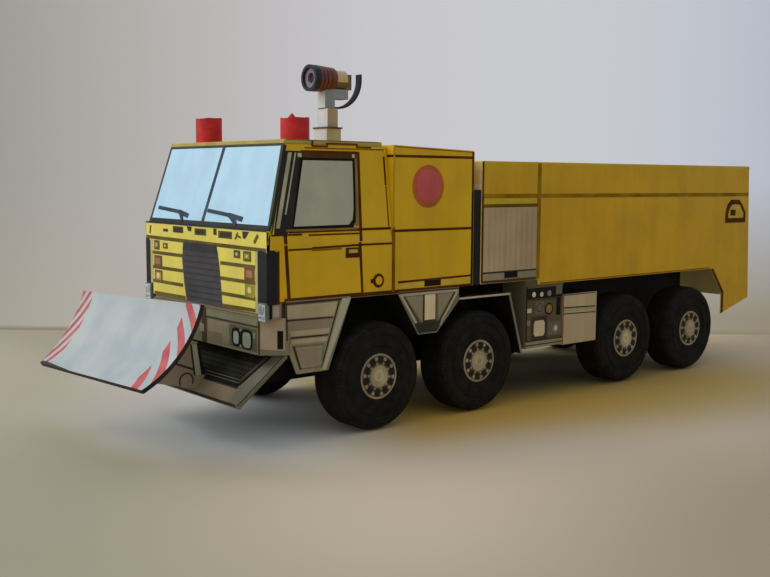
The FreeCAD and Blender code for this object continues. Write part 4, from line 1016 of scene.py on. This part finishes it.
dark_rings = ((0.12, 0.2), (0.36, 0.44), (0.62, 0.7))
barrel, low, high, middle = rolled("monitor_barrel", "barrel", ["barrel_brown", "barrel_dark"],
                                   [cut for ring in dark_rings for cut in ring] + [0.9])
close()
taper = 1 - 3.05 / 3.45
for corner in barrel.data.vertices:
    narrower = 1 - taper * ((high.x - corner.co.x) / (high.x - low.x))
    corner.co.y = middle.y + (corner.co.y - middle.y) * narrower
    corner.co.z = middle.z + (corner.co.z - middle.z) * narrower
for face in barrel.data.polygons:
    spot = (high.x - face.center.x) / (high.x - low.x)
    face.material_index = int(any(fore < spot < aft for fore, aft in dark_rings))
bpy.ops.object.shade_smooth_by_angle(angle=math.radians(30))
fit(barrel, "truck", "monitor_barrel")
muzzle = rolled("monitor_muzzle", "muzzle", ["muzzle_navy", "muzzle_violet"], [0.5])[0]
choose(muzzle, lambda centre, normal: normal.x > 0.9)
for finish, steps in ((1, ((0.75, 0), (0.1, -0.7))), (0, ((1.2, 0), (0.1, -0.6)))):
    inset(*steps)
    muzzle.active_material_index = finish
    bpy.ops.object.material_slot_assign()
close(30)
fit(muzzle, "truck", "monitor_muzzle")
# The rear of the breech is olive print; its downward faces take the same olive as painted shade.
folded("monitor_breech", "breech", ["breech_tan", "breech_olive"], "tan_paper", 0.06,
       lambda centre, normal: centre.x < breech_split or normal.z < -0.3)

# --- Floor, backdrop and light ---
# A pale table with a pale wall close behind the truck, lit softly from a window in front and
# to the right. The table carries soft painted patches: painted shadow under the truck, painted
# yellow reflection of the tank beside it and painted light round the front and rear. The wall
# is paint only: it gives no light and casts no shadow.
def share(value, low, high, **settings):
    """Where a value lies between two others, as 0 to 1."""
    return add(value.id_data, "MapRange", {"Value": value, "From Min": low, "From Max": high},
               **settings).outputs["Result"]


def shade_and_light_pool(tree, centre, reach):
    """A soft round patch of the table's painted light and shade: 1 round its centre, nothing beyond
    its reach.
    """
    place = add(tree, "Mapping", {
        "Vector": own_place(tree), "Location": (centre[0] * MM, centre[1] * MM, 0),
        "Scale": (reach[0] * MM, reach[1] * MM, 1)}, vector_type="TEXTURE").outputs["Vector"]
    fade = add(tree, "TexGradient", {"Vector": place}, gradient_type="SPHERICAL").outputs["Fac"]
    return share(fade, 0.0, 0.65, interpolation_type="SMOOTHSTEP")


tree = started("table_top", 0.75, 0.2)
tone = between(noise(tree, 6, 2), (171, 165, 141), (175, 169, 145))
# The dark patch under the truck is painted shadow, the yellow ones beside it painted reflection of
# the tank, and the pale ones painted light.
for centre, reach, colour in (
        ((40, 80), (118, 85), (207, 193, 170)), ((-44, 22), (105, 68), (199, 170, 97)),
        ((-119, -30), (69, 110), (219, 200, 168)), ((15, 10), (93, 54), (218, 177, 81)),
        ((73, -10), (46, 66), (237, 243, 243)), ((-37, -1), (82, 42), (134, 127, 92)),
        ((84, -53), (49, 49), (209, 205, 201)), ((24, 160), (120, 96), (168, 156, 132)),
        ((116, -116), (63, 140), (187, 179, 157))):
    tone = blend(tree, shade_and_light_pool(tree, centre, reach), tone, plain(*colour))
feed(tree.nodes["Principled BSDF"], {"Base Color": tone})
stage_size, floor_level = 4, -0.3 * MM
bpy.ops.object.select_all(action="DESELECT")
bpy.ops.mesh.primitive_plane_add(size=stage_size, location=(0, 0, floor_level))
floor = bpy.context.active_object
floor.name = "table"
floor.data.materials.append(bpy.data.materials["table_top"])

# The wall stands square to the camera's heading, its own X running across it and its Y up.
wall_distance, half_view = 404, 0.153
wall_ahead = Vector((math.cos(math.radians(camera_heading)),
                     math.sin(math.radians(camera_heading)), 0))
wall_across = wall_ahead.cross(UP)
wall_foot = camera.matrix_world.translation + wall_ahead * wall_distance * MM
wall_paint = bpy.data.materials.new("wall_paint")
wall_paint.use_nodes = True
tree = wall_paint.node_tree
tree.nodes.remove(tree.nodes["Principled BSDF"])
place = add(tree, "SeparateXYZ", {"Vector": own_place(tree)}).outputs
# The wall's paint runs lighter and darker across and up it as painted falloff of the window's
# light, and a darker line at its very foot is painted shade where it meets the table.
sideways = share(place["X"], -half_view, half_view)
upper = ramp(sideways, (0.0, (159, 156, 150)), (0.12, (172, 169, 164)), (0.25, (183, 180, 178)),
             (0.48, (199, 198, 203)), (0.71, (201, 202, 206)), (0.87, (195, 198, 207)),
             (1.0, (184, 188, 199)))
lower = ramp(sideways, (0.0, (165, 161, 149)), (0.12, (176, 171, 161)), (0.25, (178, 172, 166)),
             (0.6, (164, 156, 142)), (0.9, (153, 145, 128)), (1.0, (147, 139, 120)))
paint = blend(tree, share(place["Y"], 0.007, 0.062), lower, upper)
paint = blend(tree, share(place["Y"], 0.0006, 0.0020), plain(142, 131, 113), paint)
ray = add(tree, "LightPath", {}).outputs
seen = ray["Is Camera Ray"]
for kind, other in (("MAXIMUM", ray["Is Glossy Ray"]), ("MAXIMUM", ray["Is Transmission Ray"]),
                    ("SUBTRACT", add(tree, "NewGeometry", {}).outputs["Backfacing"])):
    seen = reckon(kind, seen, other, clamp=True)
clear = add(tree, "BsdfTransparent", {}).outputs[0]
glow = add(tree, "Emission", {"Color": paint}).outputs[0]
wall_face = add(tree, "MixShader", {0: seen, 1: clear, 2: glow}).outputs[0]
feed(tree.nodes["Material Output"], {"Surface": wall_face})
bpy.ops.object.select_all(action="DESELECT")
bpy.ops.mesh.primitive_plane_add(size=stage_size, location=(0, 0, 0))
wall = bpy.context.active_object
wall.name = "wall"
wall.data.transform(Matrix.Translation((0, stage_size / 2, 0)))
wall.matrix_world = Matrix.Translation((wall_foot.x, wall_foot.y, floor_level)) @ Matrix(
    (wall_across, UP, -wall_ahead)).transposed().to_4x4()
wall.visible_shadow = False
wall.data.materials.append(wall_paint)

world = bpy.data.worlds.new("room")
bpy.context.scene.world = world
world.use_nodes = True
feed(world.node_tree.nodes["Background"], {"Color": (0.80, 0.82, 0.86, 1), "Strength": 0.58})

# The window is one soft square lamp that faces the middle of the truck.
lamp = bpy.data.lights.new("window_light", "AREA")
lamp.size, lamp.energy, lamp.color = 2.0, 31, (1.0, 0.985, 0.96)
window = bpy.data.objects.new("window_light", lamp)
bpy.context.scene.collection.objects.link(window)
place, truck_middle = Vector((1.45, -0.95, 1.2)), Vector((0, 0, 0.04))
window.matrix_world = Matrix.Translation(place) @ (
    place - truck_middle).to_track_quat("Z", "Y").to_matrix().to_4x4()
